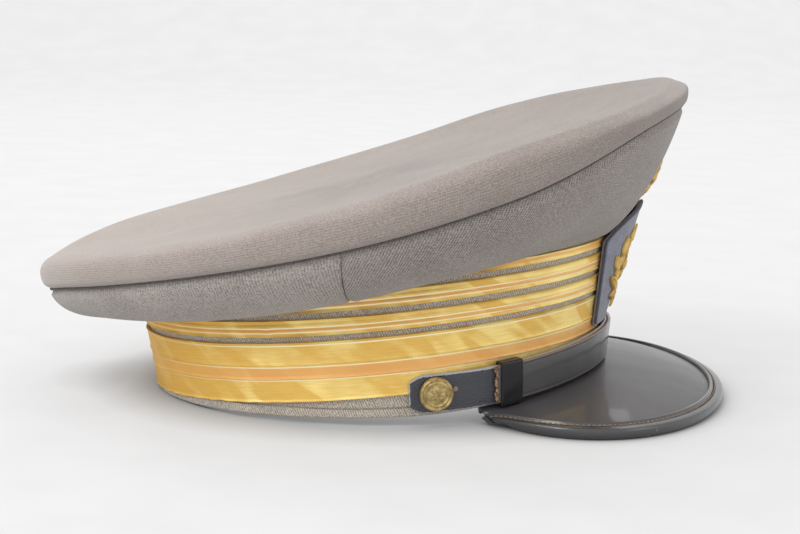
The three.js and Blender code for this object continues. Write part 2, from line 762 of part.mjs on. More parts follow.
const leather = new THREE.Group();
cap.add(leather);
add(leather, 'peak', peak(), finish(BLACK_LEATHER, 0.25));
add(leather, 'peak_binding', peakBinding(), finish(BLACK_LEATHER, 0.3));
const SIDES = [
  { name: 'right', side: 1, face: underFace, strapName: 'strap_under' },
  { name: 'left', side: -1, face: overFace, strapName: 'strap_over' },
];
for (const { name, side, face, strapName } of SIDES) {
  const azimuth = -side * STRAP_BUTTON_AZIMUTH;
  const holed = cut(strap(side, face), buttonHole(azimuth));
  add(leather, strapName, holed, finish(WORN_LEATHER, 0.45));
  add(leather, `keeper_${name}`, keeper(-side), finish(BLACK_LEATHER, 0.25));
  const knob = add(leather, `button_${name}`, button(), finish(AGED_BRASS, 0.5, 0.8));
  knob.applyMatrix4(bandFrame(azimuth, strapMiddle(azimuth), RESTING + STRAP_LEATHER));
}

export default cap;
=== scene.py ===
"""Peaked officer's service cap: the cloth, lace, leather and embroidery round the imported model.

Metres, +X to the front, +Y to the wearer's left, +Z up. Azimuths are in degrees, 0 at the front.
"""

import logging
import math
from collections.abc import Callable
from dataclasses import dataclass, field
from enum import Enum
from functools import partial

import bpy
import numpy as np
from mathutils import Matrix, Vector


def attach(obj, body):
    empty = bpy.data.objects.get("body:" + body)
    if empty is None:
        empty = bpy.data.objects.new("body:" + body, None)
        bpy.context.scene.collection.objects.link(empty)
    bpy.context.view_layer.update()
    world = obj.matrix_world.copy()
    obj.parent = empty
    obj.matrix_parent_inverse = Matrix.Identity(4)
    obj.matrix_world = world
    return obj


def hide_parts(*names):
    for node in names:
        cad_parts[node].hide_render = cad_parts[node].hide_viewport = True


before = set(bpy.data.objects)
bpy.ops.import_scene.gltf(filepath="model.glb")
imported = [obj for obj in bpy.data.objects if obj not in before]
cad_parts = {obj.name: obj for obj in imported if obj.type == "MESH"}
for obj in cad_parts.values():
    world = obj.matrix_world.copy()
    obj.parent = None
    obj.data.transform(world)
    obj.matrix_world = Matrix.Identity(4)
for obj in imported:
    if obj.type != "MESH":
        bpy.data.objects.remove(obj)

log = logging.getLogger("cap")
Array = np.ndarray
MM = 0.001
BODY = "root"
MAP_NAME = "cloth_map"
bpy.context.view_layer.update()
BLACK, WHITE = (0.0, 0.0, 0.0), (1.0, 1.0, 1.0)
STITCH_BEND = np.array([-1.0, 0.6, 1.0, 0.6, -1.0])


class Slot(Enum):
    """The record's material slots."""

    GREY_CLOTH = "grey_cloth"
    BAND_CLOTH = "band_cloth"
    GOLD_LACE = "gold_lace"
    BULLION = "gold_bullion"
    FELT = "badge_felt"
    PATENT = "patent_leather"
    STRAP = "strap_leather"
    BRASS = "aged_brass"


# Surfaces as arrays


def wrap_azimuth(azimuth: Array) -> Array:
    """Azimuths turned into the range from -180 to 180."""
    return (np.asarray(azimuth, float) + 180.0) % 360.0 - 180.0


def smooth_step(value: Array, low: float, high: float) -> Array:
    """0 below low and 1 above high, with a smooth rise between: 3t squared less 2t cubed."""
    share = np.clip((np.asarray(value, float) - low) / (high - low), 0.0, 1.0)
    return share * share * (3.0 - 2.0 * share)


def bell(value: Array, centre: float, half: float) -> Array:
    """A bell curve of height 1 about a centre, which falls to 0.37 at the half width."""
    return np.exp(-(((value - centre) / half) ** 2))


def unit(vectors: Array) -> Array:
    """Vectors along the last axis, each brought to the length 1."""
    return vectors / np.linalg.norm(vectors, axis=-1, keepdims=True)


def ring(count: int) -> Array:
    """Azimuths of the columns of a closed ring."""
    return np.linspace(0.0, 360.0, count, endpoint=False)


def hermite(t: Array, start: Array, end: Array, slope_start: Array, slope_end: Array) -> Array:
    """The Hermite cubic at t from 0 to 1, from its ends and the slopes there."""
    return (
        (2 * t**3 - 3 * t**2 + 1) * start
        + (t**3 - 2 * t**2 + t) * slope_start
        + (3 * t**2 - 2 * t**3) * end
        + (t**3 - t**2) * slope_end
    )


def bezier(t: Array, p0: Array, p1: Array, p2: Array, p3: Array) -> Array:
    """The Bezier cubic at t from 0 to 1, from its four control points."""
    return (1 - t) ** 3 * p0 + 3 * (1 - t) ** 2 * t * p1 + 3 * (1 - t) * t**2 * p2 + t**3 * p3


def spline(points: Array, steps: int) -> Array:
    """Passes a smooth curve through points along the second axis.

    Each span is a uniform Catmull-Rom cubic, and the end points are repeated for the end slopes.

    Args:
        points: Array of shape (columns, knots, values).
        steps: Number of steps in each span.

    Returns:
        Array of shape (columns, steps * (knots - 1) + 1, values).
    """
    knots = points.shape[1]
    along = np.linspace(0.0, knots - 1.0, steps * (knots - 1) + 1)
    span = np.minimum(along.astype(int), knots - 2)
    t = (along - span)[None, :, None]
    p0, p1, p2, p3 = (points[:, np.clip(span + k, 0, knots - 1)] for k in (-1, 0, 1, 2))
    return hermite(t, p1, p2, (p2 - p0) / 2.0, (p3 - p1) / 2.0)


def edge_round(distance: Array, radius: float) -> Array:
    """Share of the full thickness near an edge: a quarter circle of the given radius, never under 0.15."""
    share = np.clip(distance / radius, 0.0, 1.0)
    return np.maximum(np.sqrt(1.0 - (1.0 - share) ** 2), 0.15)


def edge_spacing(count: int, ease: float = 0.75) -> Array:
    """Shares from 0 to 1 that lie closer together at both ends: even steps mixed with cosine steps."""
    even = np.linspace(0.0, 1.0, count)
    return (1.0 - ease) * even + ease * (0.5 - 0.5 * np.cos(np.pi * even))


def grid_normals(grid: Array, closed: bool) -> Array:
    """Unit normals of a grid of points: the cross product of its column and row directions."""
    if closed:
        along = np.roll(grid, -1, axis=0) - np.roll(grid, 1, axis=0)
    else:
        along = np.gradient(grid, axis=0)
    normal = np.cross(along, np.gradient(grid, axis=1))
    length = np.linalg.norm(normal, axis=2, keepdims=True)
    return normal / np.maximum(length, 1e-12)


def grid_map(grid: Array, closed: bool) -> Array:
    """A map of a grid in metres: u is the run of its middle row and v the mean run of its columns.

    Args:
        grid: Array of shape (columns, rows, 3).
        closed: Whether the columns close on themselves. The map then has one column more.

    Returns:
        Array of shape (columns or columns + 1, rows, 2).
    """
    full = np.concatenate([grid, grid[:1]]) if closed else grid
    middle = full[:, full.shape[1] // 2]
    u = np.concatenate([[0.0], np.cumsum(np.linalg.norm(np.diff(middle, axis=0), axis=1))])
    steps = np.linalg.norm(np.diff(grid, axis=1), axis=2).mean(axis=0)
    v = np.concatenate([[0.0], np.cumsum(steps)])
    return np.stack(np.broadcast_arrays(u[:, None], v[None, :]), axis=2)


def write_mesh(name: str, points: Array, corners: list[Array], maps: list[Array]) -> bpy.types.Object:
    """Puts faces into a new mesh object, facing out.

    Args:
        name: Name of the object.
        points: Array of shape (points, 3).
        corners: Arrays of faces, each of shape (faces, 3 or 4).
        maps: The map value of each corner, one array of shape (faces, 3 or 4, 2) for each of corners.

    Returns:
        The new object, linked to the scene.
    """
    first, *others = (points[corner] for corner in corners[0].T)
    volume = sum(
        np.einsum("ij,ij->i", first, np.cross(*pair)).sum() for pair in zip(others[:-1], others[1:])
    )
    if volume < 0:
        corners = [faces[:, ::-1] for faces in corners]
        maps = [values[:, ::-1] for values in maps]
    used, flat = np.unique(np.concatenate([faces.ravel() for faces in corners]), return_inverse=True)
    totals = np.concatenate([np.full(len(faces), faces.shape[1]) for faces in corners])
    mesh = bpy.data.meshes.new(name)
    mesh.vertices.add(len(used))
    mesh.vertices.foreach_set("co", points[used].astype(np.float32).ravel())
    mesh.loops.add(len(flat))
    mesh.loops.foreach_set("vertex_index", flat.astype(np.int32))
    mesh.polygons.add(len(totals))
    starts = np.concatenate([[0], np.cumsum(totals)[:-1]])
    mesh.polygons.foreach_set("loop_start", starts.astype(np.int32))
    mesh.polygons.foreach_set("use_smooth", np.ones(len(totals), bool))
    layer = mesh.uv_layers.new(name=MAP_NAME)
    layer.data.foreach_set("uv", np.concatenate([values.ravel() for values in maps]).astype(np.float32))
    mesh.update(calc_edges=True)
    mesh.validate()
    mesh.set_sharp_from_angle(angle=math.radians(50))
    piece = bpy.data.objects.new(name, mesh)
    bpy.context.scene.collection.objects.link(piece)
    return piece


def wall_piece(
    name: str, outer: Array, inner: Array, closed: bool = False, pole: bool = False
) -> bpy.types.Object:
    """A closed wall between two grids of points.

    Args:
        name: Name of the object.
        outer: Array of shape (columns, rows, 3).
        inner: The same shape, on the other side of the wall.
        closed: Whether the columns close on themselves.
        pole: Whether the last row of each grid is one point.

    Returns:
        The new object.
    """
    columns, rows = outer.shape[:2]
    points = np.concatenate([outer.reshape(-1, 3), inner.reshape(-1, 3)])
    map_grid = grid_map(outer, closed)
    shift = columns * rows
    i = np.arange(columns if closed else columns - 1)
    j = (i + 1) % columns
    k = np.arange(rows - 2 if pole else rows - 1)
    i_grid, k_grid = np.meshgrid(i, k, indexing="ij")
    j_grid = (i_grid + 1) % columns

    def faces(cells: list[tuple[Array, Array]], lift: int) -> Array:
        return np.stack([(a * rows + b + lift).ravel() for a, b in cells], axis=1)

    def values(cells: list[tuple[Array, Array]]) -> Array:
        return np.stack([map_grid[a.ravel(), b.ravel()] for a, b in cells], axis=1)

    cell = [(i_grid, k_grid), (j_grid, k_grid), (j_grid, k_grid + 1), (i_grid, k_grid + 1)]
    flat = [(i_grid, k_grid), (i_grid + 1, k_grid), (i_grid + 1, k_grid + 1), (i_grid, k_grid + 1)]
    quads = [faces(cell, 0), faces(cell[::-1], shift)]
    quad_maps = [values(flat), values(flat[::-1])]
    for row, ahead in ((0, False), (rows - 1, True)):
        if pole and row:
            continue
        a, b = (i, j) if ahead else (j, i)
        near, far = a * rows + row, b * rows + row
        c, d = (i, i + 1) if ahead else (i + 1, i)
        quads.append(np.stack([near, far, far + shift, near + shift], axis=1))
        quad_maps.append(np.stack([map_grid[column, row] for column in (c, d, d, c)], axis=1))
    if not closed:
        for column, ahead in ((0, True), (columns - 1, False)):
            low, high = (k, k + 1) if ahead else (k + 1, k)
            near, far = column * rows + low, column * rows + high
            quads.append(np.stack([near, far, far + shift, near + shift], axis=1))
            quad_maps.append(np.stack([map_grid[column, row] for row in (low, high, high, low)], axis=1))
    corners, maps = [np.concatenate(quads)], [np.concatenate(quad_maps)]
    if pole:
        last, tip = rows - 2, rows - 1
        near, far, tips = i * rows + last, j * rows + last, np.full(len(i), tip)
        upper = np.stack([near, far, tips], axis=1)
        lower = np.stack([far, near, tips], axis=1) + shift
        fan = np.stack([map_grid[i, last], map_grid[i + 1, last], map_grid[i, tip]], axis=1)
        corners.append(np.concatenate([upper, lower]))
        maps.append(np.concatenate([fan, fan]))
    return write_mesh(name, points, corners, maps)


def tube_piece(
    name: str, path: Array, radius: float, sides: int = 8, closed: bool = False
) -> bpy.types.Object:
    """A round tube carried along a path, pinched to a small end on an open path.

    Args:
        name: Name of the object.
        path: Array of shape (points, 3).
        radius: Radius of the tube.
        sides: Number of sides of the section.
        closed: Whether the path closes on itself.

    Returns:
        The new object.
    """
    run = np.concatenate([path[-1:], path, path[:1]]) if closed else path
    tangent = np.gradient(run, axis=0)
    tangent = unit(tangent[1:-1] if closed else tangent)
    helper = np.where(np.abs(tangent[:, 2:]) > 0.9, [[1.0, 0.0, 0.0]], [[0.0, 0.0, 1.0]])
    side = unit(np.cross(tangent, helper))
    up = np.cross(side, tangent)
    turn = np.linspace(0.0, 2 * np.pi, sides, endpoint=False)
    size = np.full(len(path), radius)
    if not closed:
        size[[0, -1]] *= 0.35
    spoke = side[:, None] * np.cos(turn)[None, :, None] + up[:, None] * np.sin(turn)[None, :, None]
    grid = (path[:, None] + spoke * size[:, None, None]).transpose(1, 0, 2)
    return closed_sleeve(name, grid, path, closed)


def closed_sleeve(name: str, grid: Array, path: Array, closed: bool) -> bpy.types.Object:
    """A sleeve of points round a path, with a fan at each end of an open path.

    Args:
        name: Name of the object.
        grid: Array of shape (sides, points, 3).
        path: Array of shape (points, 3).
        closed: Whether the path closes on itself.

    Returns:
        The new object.
    """
    sides, count = grid.shape[:2]
    points = grid.transpose(1, 0, 2).reshape(-1, 3)
    a, b = np.meshgrid(np.arange(count if closed else count - 1), np.arange(sides), indexing="ij")
    c, d = (a + 1) % count, (b + 1) % sides
    quads = np.stack([(x * sides + y).ravel() for x, y in ((a, b), (c, b), (c, d), (a, d))], axis=1)
    if closed:
        return write_mesh(name, points, [quads], [np.zeros((*quads.shape, 2))])
    points = np.concatenate([points, path[:1], path[-1:]])
    side = np.arange(sides)
    after = (side + 1) % sides
    tip, tail = np.full(sides, count * sides), np.full(sides, count * sides + 1)
    last = (count - 1) * sides
    fans = np.concatenate(
        [np.stack([side, after, tip], axis=1), np.stack([after + last, side + last, tail], axis=1)]
    )
    faces = [quads, fans]
    return write_mesh(name, points, faces, [np.zeros((*corners.shape, 2)) for corners in faces])


def join_pieces(name: str, pieces: list[bpy.types.Object]) -> bpy.types.Object:
    """Joins objects into the first of them, under one name."""
    for other in bpy.context.selected_objects:
        other.select_set(False)
    for piece in pieces:
        piece.select_set(True)
    bpy.context.view_layer.objects.active = pieces[0]
    bpy.ops.object.join()
    joined = bpy.context.view_layer.objects.active
    joined.name = name
    joined.data.name = name
    return joined


# Finishes


@dataclass
class Shader:
    """A material's node tree, with short ways to add the nodes that the finishes share."""

    name: str
    material: bpy.types.Material = field(init=False)
    tree: bpy.types.NodeTree = field(init=False)
    surface: bpy.types.Node = field(init=False)

    def __post_init__(self) -> None:
        """Makes the material with its surface shader."""
        self.material = bpy.data.materials.new(self.name)
        self.material.use_nodes = True
        self.tree = self.material.node_tree
        self.surface = self.tree.nodes["Principled BSDF"]

    def add(self, kind: str, settings: dict | None = None, **inputs: object) -> bpy.types.Node:
        """Adds a node.

        Args:
            kind: Blender's name of the node type.
            settings: Properties to set on the node.
            **inputs: Values or sockets for its inputs, by name with underscores for spaces, or by _number.

        Returns:
            The new node.
        """
        node = self.tree.nodes.new(kind)
        for key, value in (settings or {}).items():
            setattr(node, key, value)
        for key, value in inputs.items():
            socket = node.inputs[int(key[1:])] if key[0] == "_" else node.inputs[key.replace("_", " ")]
            self.feed(socket, value)
        return node

    def feed(self, socket: bpy.types.NodeSocket, value: object) -> None:
        """Links or sets one input."""
        if isinstance(value, bpy.types.NodeSocket):
            self.tree.links.new(value, socket)
        else:
            socket.default_value = value

    def math(self, operation: str, a: object, b: object = 0.0, c: object = 0.0) -> bpy.types.NodeSocket:
        """The result of one sum on numbers."""
        return self.add("ShaderNodeMath", {"operation": operation}, _0=a, _1=b, _2=c).outputs[0]

    def in_mm(self, metres: bpy.types.NodeSocket) -> bpy.types.NodeSocket:
        """A vector in metres turned into millimetres."""
        scaled = self.add("ShaderNodeVectorMath", {"operation": "SCALE"}, _0=metres, Scale=1.0 / MM)
        return scaled.outputs[0]

    def map_mm(self) -> bpy.types.NodeSocket:
        """The piece's own map in millimetres."""
        return self.in_mm(self.add("ShaderNodeUVMap", {"uv_map": MAP_NAME}).outputs[0])

    def place_mm(self) -> bpy.types.NodeSocket:
        """The object's coordinates in millimetres."""
        return self.in_mm(self.add("ShaderNodeTexCoord").outputs["Object"])

    def noise(self, vector: object, size: float, detail: float = 3.0, stretch: tuple = (1, 1, 1)) -> object:
        """Noise from 0 to 1 whose spots are about size millimetres across."""
        scaled = self.add("ShaderNodeVectorMath", {"operation": "MULTIPLY"}, _0=vector, _1=stretch)
        node = self.add("ShaderNodeTexNoise", Vector=scaled.outputs[0], Scale=1.0 / size, Detail=detail)
        return node.outputs[0]

    def ribs(self, vector: object, pitch: float, turn: float, wander: object = 0.0) -> object:
        """Parallel ribs from 0 to 1: half a sine of the distance across them.

        Args:
            vector: Coordinates in millimetres.
            pitch: Distance between ribs in millimetres.
            turn: Direction across the ribs in degrees from the first coordinate.
            wander: Added to the phase, in radians.

        Returns:
            The socket with the ribs.
        """
        rate = 2 * math.pi / pitch
        across = (rate * math.cos(math.radians(turn)), rate * math.sin(math.radians(turn)), 0.0)
        phase = self.add("ShaderNodeVectorMath", {"operation": "DOT_PRODUCT"}, _0=vector, _1=across)
        wave = self.math("SINE", self.math("ADD", phase.outputs["Value"], wander))
        return self.math("MULTIPLY_ADD", wave, 0.5, 0.5)

    def ramp(self, factor: object, stops: list[tuple[float, tuple]]) -> object:
        """A colour ramp through stops of (place, colour)."""
        node = self.add("ShaderNodeValToRGB", _0=factor)
        elements = node.color_ramp.elements
        while len(elements) < len(stops):
            elements.new(0.5)
        for element, (place, colour) in zip(elements, stops):
            element.position = place
            element.color = (*colour, 1.0)
        return node.outputs[0]

    def mix(self, factor: object, a: object, b: object, blend: str = "MIX") -> object:
        """A mix of two colours."""
        node = self.add("ShaderNodeMix", {"data_type": "RGBA", "blend_type": blend}, _0=factor)
        self.feed(node.inputs[6], a if isinstance(a, bpy.types.NodeSocket) else (*a, 1.0))
        self.feed(node.inputs[7], b if isinstance(b, bpy.types.NodeSocket) else (*b, 1.0))
        return node.outputs[2]

    def bump(self, height: object, depth: float, under: object = None) -> object:
        """A bump of the given depth in millimetres, on top of another one where it is given."""
        node = self.add("ShaderNodeBump", Height=height, Distance=depth * MM, Strength=1.0)
        if under is not None:
            self.feed(node.inputs["Normal"], under)
        return node.outputs[0]

    def finish(self, **inputs: object) -> bpy.types.Material:
        """Sets the surface shader's inputs and returns the material."""
        for key, value in inputs.items():
            self.feed(self.surface.inputs[key.replace("_", " ")], value)
        return self.material


@dataclass(frozen=True)
class Cloth:
    """Wool cloth with a fine melange and soft twill ribs; its fade paints shade that makes it darker to the
    front.
    """

    name: str
    dark: tuple = (0.2, 0.17, 0.15)
    light: tuple = (0.41, 0.355, 0.315)
    rib_pitch: float = 1.1
    rib_turn: float = 30.0
    rib_depth: float = 0.16
    rib_shade: float = 0.25
    fleck_share: float = 0.85
    fade: float = 0.0

    def material(self) -> bpy.types.Material:
        """Builds the material."""
        s = Shader(self.name)
        place, flat = s.place_mm(), s.map_mm()
        fleck = s.noise(place, 0.75, 4.0)
        haze = s.noise(place, 22.0, 2.0)
        wander = s.math("MULTIPLY", s.noise(place, 6.0, 2.0), 5.0)
        twill = s.ribs(flat, self.rib_pitch, self.rib_turn, wander)
        cross = s.ribs(flat, self.rib_pitch * 0.62, self.rib_turn + 90.0, s.math("MULTIPLY", fleck, 4.0))
        crossed = s.math("MULTIPLY", twill, cross)
        weave = s.math("MULTIPLY_ADD", crossed, 0.7, s.math("MULTIPLY", twill, 0.3))
        even = s.math("MULTIPLY_ADD", fleck, self.fleck_share, 0.5 * (1.0 - self.fleck_share))
        tone = s.math("MULTIPLY_ADD", s.math("SUBTRACT", weave, 0.4), self.rib_shade, even)
        tone = s.math("MULTIPLY_ADD", s.math("SUBTRACT", haze, 0.5), 0.14, tone)
        # Painted shade: the tone falls towards the front along X, by the fade.
        forwards = s.add("ShaderNodeSeparateXYZ", _0=place).outputs[0]
        tone = s.math("MULTIPLY_ADD", forwards, -self.fade / 100.0, tone)
        colour = s.ramp(tone, [(0.34, self.dark), (0.65, self.light)])
        height = s.math("MULTIPLY_ADD", fleck, 0.8, weave)
        return s.finish(
            Base_Color=colour,
            Roughness=0.92,
            Sheen_Weight=0.35,
            Sheen_Roughness=0.45,
            Specular_IOR_Level=0.2,
            Normal=s.bump(height, self.rib_depth),
        )


@dataclass(frozen=True)
class LaceWeave:
    """Metal-thread lace: gold with a salmon stripe, and painted highlights: bright lines on the cords and
    slanted bands of painted sheen.

    The stripe and the cords lie at shares of the lace's width. Stripe, cord highlights and painted sheen
    are weaker at the rear, between the places dull_from and dull_to along X in millimetres.
    """

    name: str
    width: float
    stripe_from: float
    stripe_to: float
    cords: tuple = ()
    cord_half: float = 0.3
    weft_pitch: float = 1.0
    warp_pitch: float = 1.3
    sheen_turn: float = 40.0
    dull_from: float = -96.0
    dull_to: float = -40.0
    dull_share: float = 0.25
    gold: tuple = (0.72, 0.37, 0.035)
    pale: tuple = (1.0, 0.8, 0.3)
    salmon: tuple = (0.8, 0.38, 0.12)
    bright: tuple = (1.0, 0.92, 0.58)

    def material(self) -> bpy.types.Material:
        """Builds the material."""
        s = Shader(self.name)
        place, flat = s.place_mm(), s.map_mm()
        across = s.add("ShaderNodeSeparateXYZ", _0=flat).outputs[1]
        share = s.math("DIVIDE", across, self.width / MM)
        soft = 0.35 * MM / self.width
        stops = [
            (self.stripe_from - soft, BLACK),
            (self.stripe_from + soft, WHITE),
            (self.stripe_to - soft, WHITE),
            (self.stripe_to + soft, BLACK),
        ]
        stripe = s.ramp(share, stops)
        wefts = s.ribs(flat, self.weft_pitch, 90.0, s.math("MULTIPLY", s.noise(place, 12.0), 2.0))
        warps = s.ribs(flat, self.warp_pitch, 0.0, s.math("MULTIPLY", s.noise(place, 9.0), 2.0))
        stagger = s.math("MULTIPLY", s.math("SUBTRACT", wefts, 0.5), s.math("SUBTRACT", warps, 0.5))
        dots = s.math("MULTIPLY_ADD", stagger, 2.0, 0.5)
        threads = s.noise(flat, 1.0, 2.0, (0.1, 1.6, 1.0))
        # Painted sheen: slanted bands of noise, strongest in broad patches, are painted into the colour as
        # pale gold, and are smoother there.
        slant = s.add("ShaderNodeMapping", _0=flat)
        slant.inputs["Rotation"].default_value = (0.0, 0.0, math.radians(self.sheen_turn))
        bands = s.noise(slant.outputs[0], 11.0, 1.5, (0.22, 1.0, 1.0))
        # Weaker towards the rear: the painted sheen, the cord highlights, the weave's dots and the stripe.
        front_strength = s.add(
            "ShaderNodeMapRange",
            Value=s.add("ShaderNodeSeparateXYZ", _0=place).outputs[0],
            From_Min=self.dull_from,
            From_Max=self.dull_to,
            To_Min=self.dull_share,
        ).outputs[0]
        sheen_facet = s.ramp(bands, [(0.46, BLACK), (0.52, (0.75, 0.75, 0.75)), (0.7, WHITE)])
        sheen = s.noise(flat, 30.0, 2.0, (1.0, 0.6, 1.0))
        glow = s.math("MULTIPLY", sheen_facet, s.ramp(sheen, [(0.4, (0.25, 0.25, 0.25)), (0.55, WHITE)]))
        glow = s.math("MULTIPLY", s.math("MULTIPLY", glow, front_strength), s.math("ADD", threads, 0.35))
        weave_and_sheen = s.math("MULTIPLY_ADD", threads, 0.5, s.math("MULTIPLY_ADD", glow, 0.8, -0.12))
        weave_and_sheen = s.math("MULTIPLY_ADD", s.math("MULTIPLY", dots, front_strength), 0.42, weave_and_sheen)
        gold = s.mix(weave_and_sheen, self.gold, self.pale)
        pink = s.mix(s.math("MULTIPLY", weave_and_sheen, 0.3), self.salmon, self.pale)
        colour = s.mix(s.math("MULTIPLY", stripe, front_strength), gold, pink)
        # Painted highlight: a line of the bright colour along each cord.
        for place_share in self.cords:
            away = s.math("ABSOLUTE", s.math("SUBTRACT", share, place_share))
            cord = s.math("LESS_THAN", away, self.cord_half * MM / self.width)
            colour = s.mix(s.math("MULTIPLY", cord, front_strength), colour, self.bright)
        folds = s.noise(flat, 15.0, 3.0, (1.0, 0.5, 1.0))
        base = s.bump(folds, 0.9)
        fine = s.math("MULTIPLY_ADD", threads, 0.6, s.math("MULTIPLY", dots, 1.2))
        rough = s.math("MULTIPLY_ADD", threads, 0.22, s.math("MULTIPLY_ADD", glow, -0.12, 0.36))
        return s.finish(
            Base_Color=colour,
            Metallic=0.45,
            Roughness=rough,
            Specular_IOR_Level=0.25,
            Anisotropic=0.5,
            Normal=s.bump(fine, 0.11, base),
        )


@dataclass(frozen=True)
class Hide:
    """Leather with a fine grain, scuffs and broad soft creases, and raw edges where they are given."""

    name: str
    colour: tuple = (0.012, 0.012, 0.014)
    worn: tuple = (0.05, 0.05, 0.056)
    roughness: float = 0.16
    rough_range: float = 0.12
    grain: float = 0.02
    crease: float = 0.25
    coat: float = 0.6
    scratch: float = 0.5
    specular: float = 0.5
    edge: tuple | None = None
    edge_width: float = 0.0
    edge_ends: bool = False
    width: float = 0.0
    scuff_at: tuple | None = None

    def edge_mask(self, s: Shader) -> object:
        """Where the cut edge shows: within the edge width, broken up by noise.

        Args:
            s: The shader being built.

        Returns:
            A socket, 0 or 1.
        """
        along, across = s.add("ShaderNodeSeparateXYZ", _0=s.map_mm()).outputs[:2]
        away = s.math("MINIMUM", across, s.math("SUBTRACT", self.width / MM, across))
        if self.edge_ends:
            away = s.math("MINIMUM", away, along)
        rough = s.math("MULTIPLY_ADD", s.noise(s.place_mm(), 1.6, 4.0), 1.6, -0.8)
        reach = s.math("MULTIPLY_ADD", rough, self.edge_width, self.edge_width)
        return s.math("LESS_THAN", away, reach)

    def scuff_mask(self, s: Shader) -> object:
        """A small raw scuff: within 2 mm of its place on the map, broken up by noise.

        Args:
            s: The shader being built.

        Returns:
            A socket, 0 or 1.
        """
        centre = (*self.scuff_at, 0.0)
        away = s.add("ShaderNodeVectorMath", {"operation": "DISTANCE"}, _0=s.map_mm(), _1=centre)
        reach = s.math("MULTIPLY", s.noise(s.place_mm(), 0.7, 4.0), 2.0)
        return s.math("LESS_THAN", away.outputs["Value"], reach)

    def material(self) -> bpy.types.Material:
        """Builds the material."""
        s = Shader(self.name)
        place = s.place_mm()
        grain = s.add("ShaderNodeTexVoronoi", {"feature": "F1"}, Vector=place, Scale=1.4).outputs[0]
        creases = s.noise(place, 24.0, 3.0, (1.0, 0.35, 1.0))
        smears = s.noise(place, 18.0, 5.0, (0.6, 1.0, 1.0))
        hair = s.noise(place, 2.2, 2.0, (0.12, 1.6, 1.6))
        lines = s.ramp(hair, [(0.7, BLACK), (0.76, WHITE)])
        scuffs = s.math("MULTIPLY", lines, s.math("GREATER_THAN", smears, 0.5))
        colour = s.mix(s.math("MULTIPLY", scuffs, self.scratch), self.colour, self.worn)
        if self.edge:
            colour = s.mix(self.edge_mask(s), colour, self.edge)
        if self.scuff_at:
            colour = s.mix(self.scuff_mask(s), colour, (0.3, 0.2, 0.13))
        rough = s.math("MULTIPLY_ADD", smears, self.rough_range, self.roughness)
        rough = s.math("MULTIPLY_ADD", scuffs, 0.12, rough)
        base = s.bump(creases, self.crease)
        return s.finish(
            Base_Color=colour,
            Roughness=rough,
            Specular_IOR_Level=self.specular,
            Coat_Weight=self.coat,
            Coat_Roughness=0.09,
            Normal=s.bump(grain, self.grain, base),
        )


@dataclass(frozen=True)
class Bullion:
    """Gold bullion: bright wound wire, darker between the turns."""

    name: str = "gold_bullion_wire"
    gold: tuple = (0.62, 0.37, 0.07)
    pale: tuple = (0.9, 0.66, 0.24)

    def material(self) -> bpy.types.Material:
        """Builds the material."""
        s = Shader(self.name)
        place = s.place_mm()
        spots = s.noise(place, 0.8, 3.0)
        turns = s.ribs(s.map_mm(), 0.4, 60.0)
        colour = s.mix(spots, self.gold, self.pale)
        height = s.math("MULTIPLY_ADD", spots, 0.4, turns)
        return s.finish(Base_Color=colour, Metallic=0.85, Roughness=0.34, Normal=s.bump(height, 0.12))


@dataclass(frozen=True)
class Felt:
    """Felt with short fibres in soft clouds of tone."""

    name: str
    dark: tuple
    light: tuple

    def material(self) -> bpy.types.Material:
        """Builds the material."""
        s = Shader(self.name)
        place = s.place_mm()
        fibres = s.noise(place, 0.5, 5.0)
        clouds = s.noise(place, 5.0, 3.0)
        colour = s.ramp(s.math("MULTIPLY_ADD", clouds, 0.4, fibres), [(0.45, self.dark), (0.9, self.light)])
        return s.finish(Base_Color=colour, Roughness=0.95, Sheen_Weight=0.3, Normal=s.bump(fibres, 0.2))


@dataclass(frozen=True)
class Brass:
    """Aged brass with dull brown tarnish in patches."""

    name: str = "aged_brass_button"
    bright: tuple = (0.56, 0.43, 0.19)
    tarnish: tuple = (0.3, 0.22, 0.09)

    def material(self) -> bpy.types.Material:
        """Builds the material."""
        s = Shader(self.name)
        place = s.place_mm()
        patches = s.noise(place, 2.6, 5.0)
        pits = s.noise(place, 0.5, 3.0)
        wear = s.ramp(patches, [(0.4, BLACK), (0.62, WHITE)])
        colour = s.mix(wear, self.bright, self.tarnish)
        rough = s.math("MULTIPLY_ADD", patches, 0.3, 0.36)
        return s.finish(Base_Color=colour, Metallic=0.7, Roughness=rough, Normal=s.bump(pits, 0.05))


@dataclass(frozen=True)
class Plain:
    """A thread, raw leather edge or floor: one tone broken up by noise.

    A glow lifts the floor's shade, but not close to what stands on it.
    """

    name: str
    dark: tuple
    light: tuple
    spot: float = 0.6
    depth: float = 0.08
    roughness: float = 0.8
    glow: float = 0.0

    def material(self) -> bpy.types.Material:
        """Builds the material."""
        s = Shader(self.name)
        place = s.place_mm()
        spots = s.noise(place, self.spot, 4.0)
        colour = s.ramp(spots, [(0.35, self.dark), (0.65, self.light)])
        glow = 0.0
        if self.glow:
            nearby = s.add("ShaderNodeAmbientOcclusion", Distance=0.035).outputs["AO"]
            glow = s.math("MULTIPLY", s.math("POWER", nearby, 1.6), self.glow)
        return s.finish(
            Base_Color=colour,
            Roughness=self.roughness,
            Emission_Color=(1.0, 1.0, 1.0, 1.0),
            Emission_Strength=glow,
            Normal=s.bump(spots, self.depth),
        )


def dress(
    piece: bpy.types.Object, finish: object, replaces: tuple[str, ...] = ()
) -> bpy.types.Object:
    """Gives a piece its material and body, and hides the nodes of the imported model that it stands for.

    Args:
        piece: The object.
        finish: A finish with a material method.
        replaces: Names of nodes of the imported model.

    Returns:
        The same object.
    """
    piece.data.materials.clear()
    piece.data.materials.append(finish.material())
    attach(piece, BODY)
    if replaces:
        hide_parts(*replaces)
    log.info("%s: %d faces", piece.name, len(piece.data.polygons))
    return piece


# Sub-assemblies


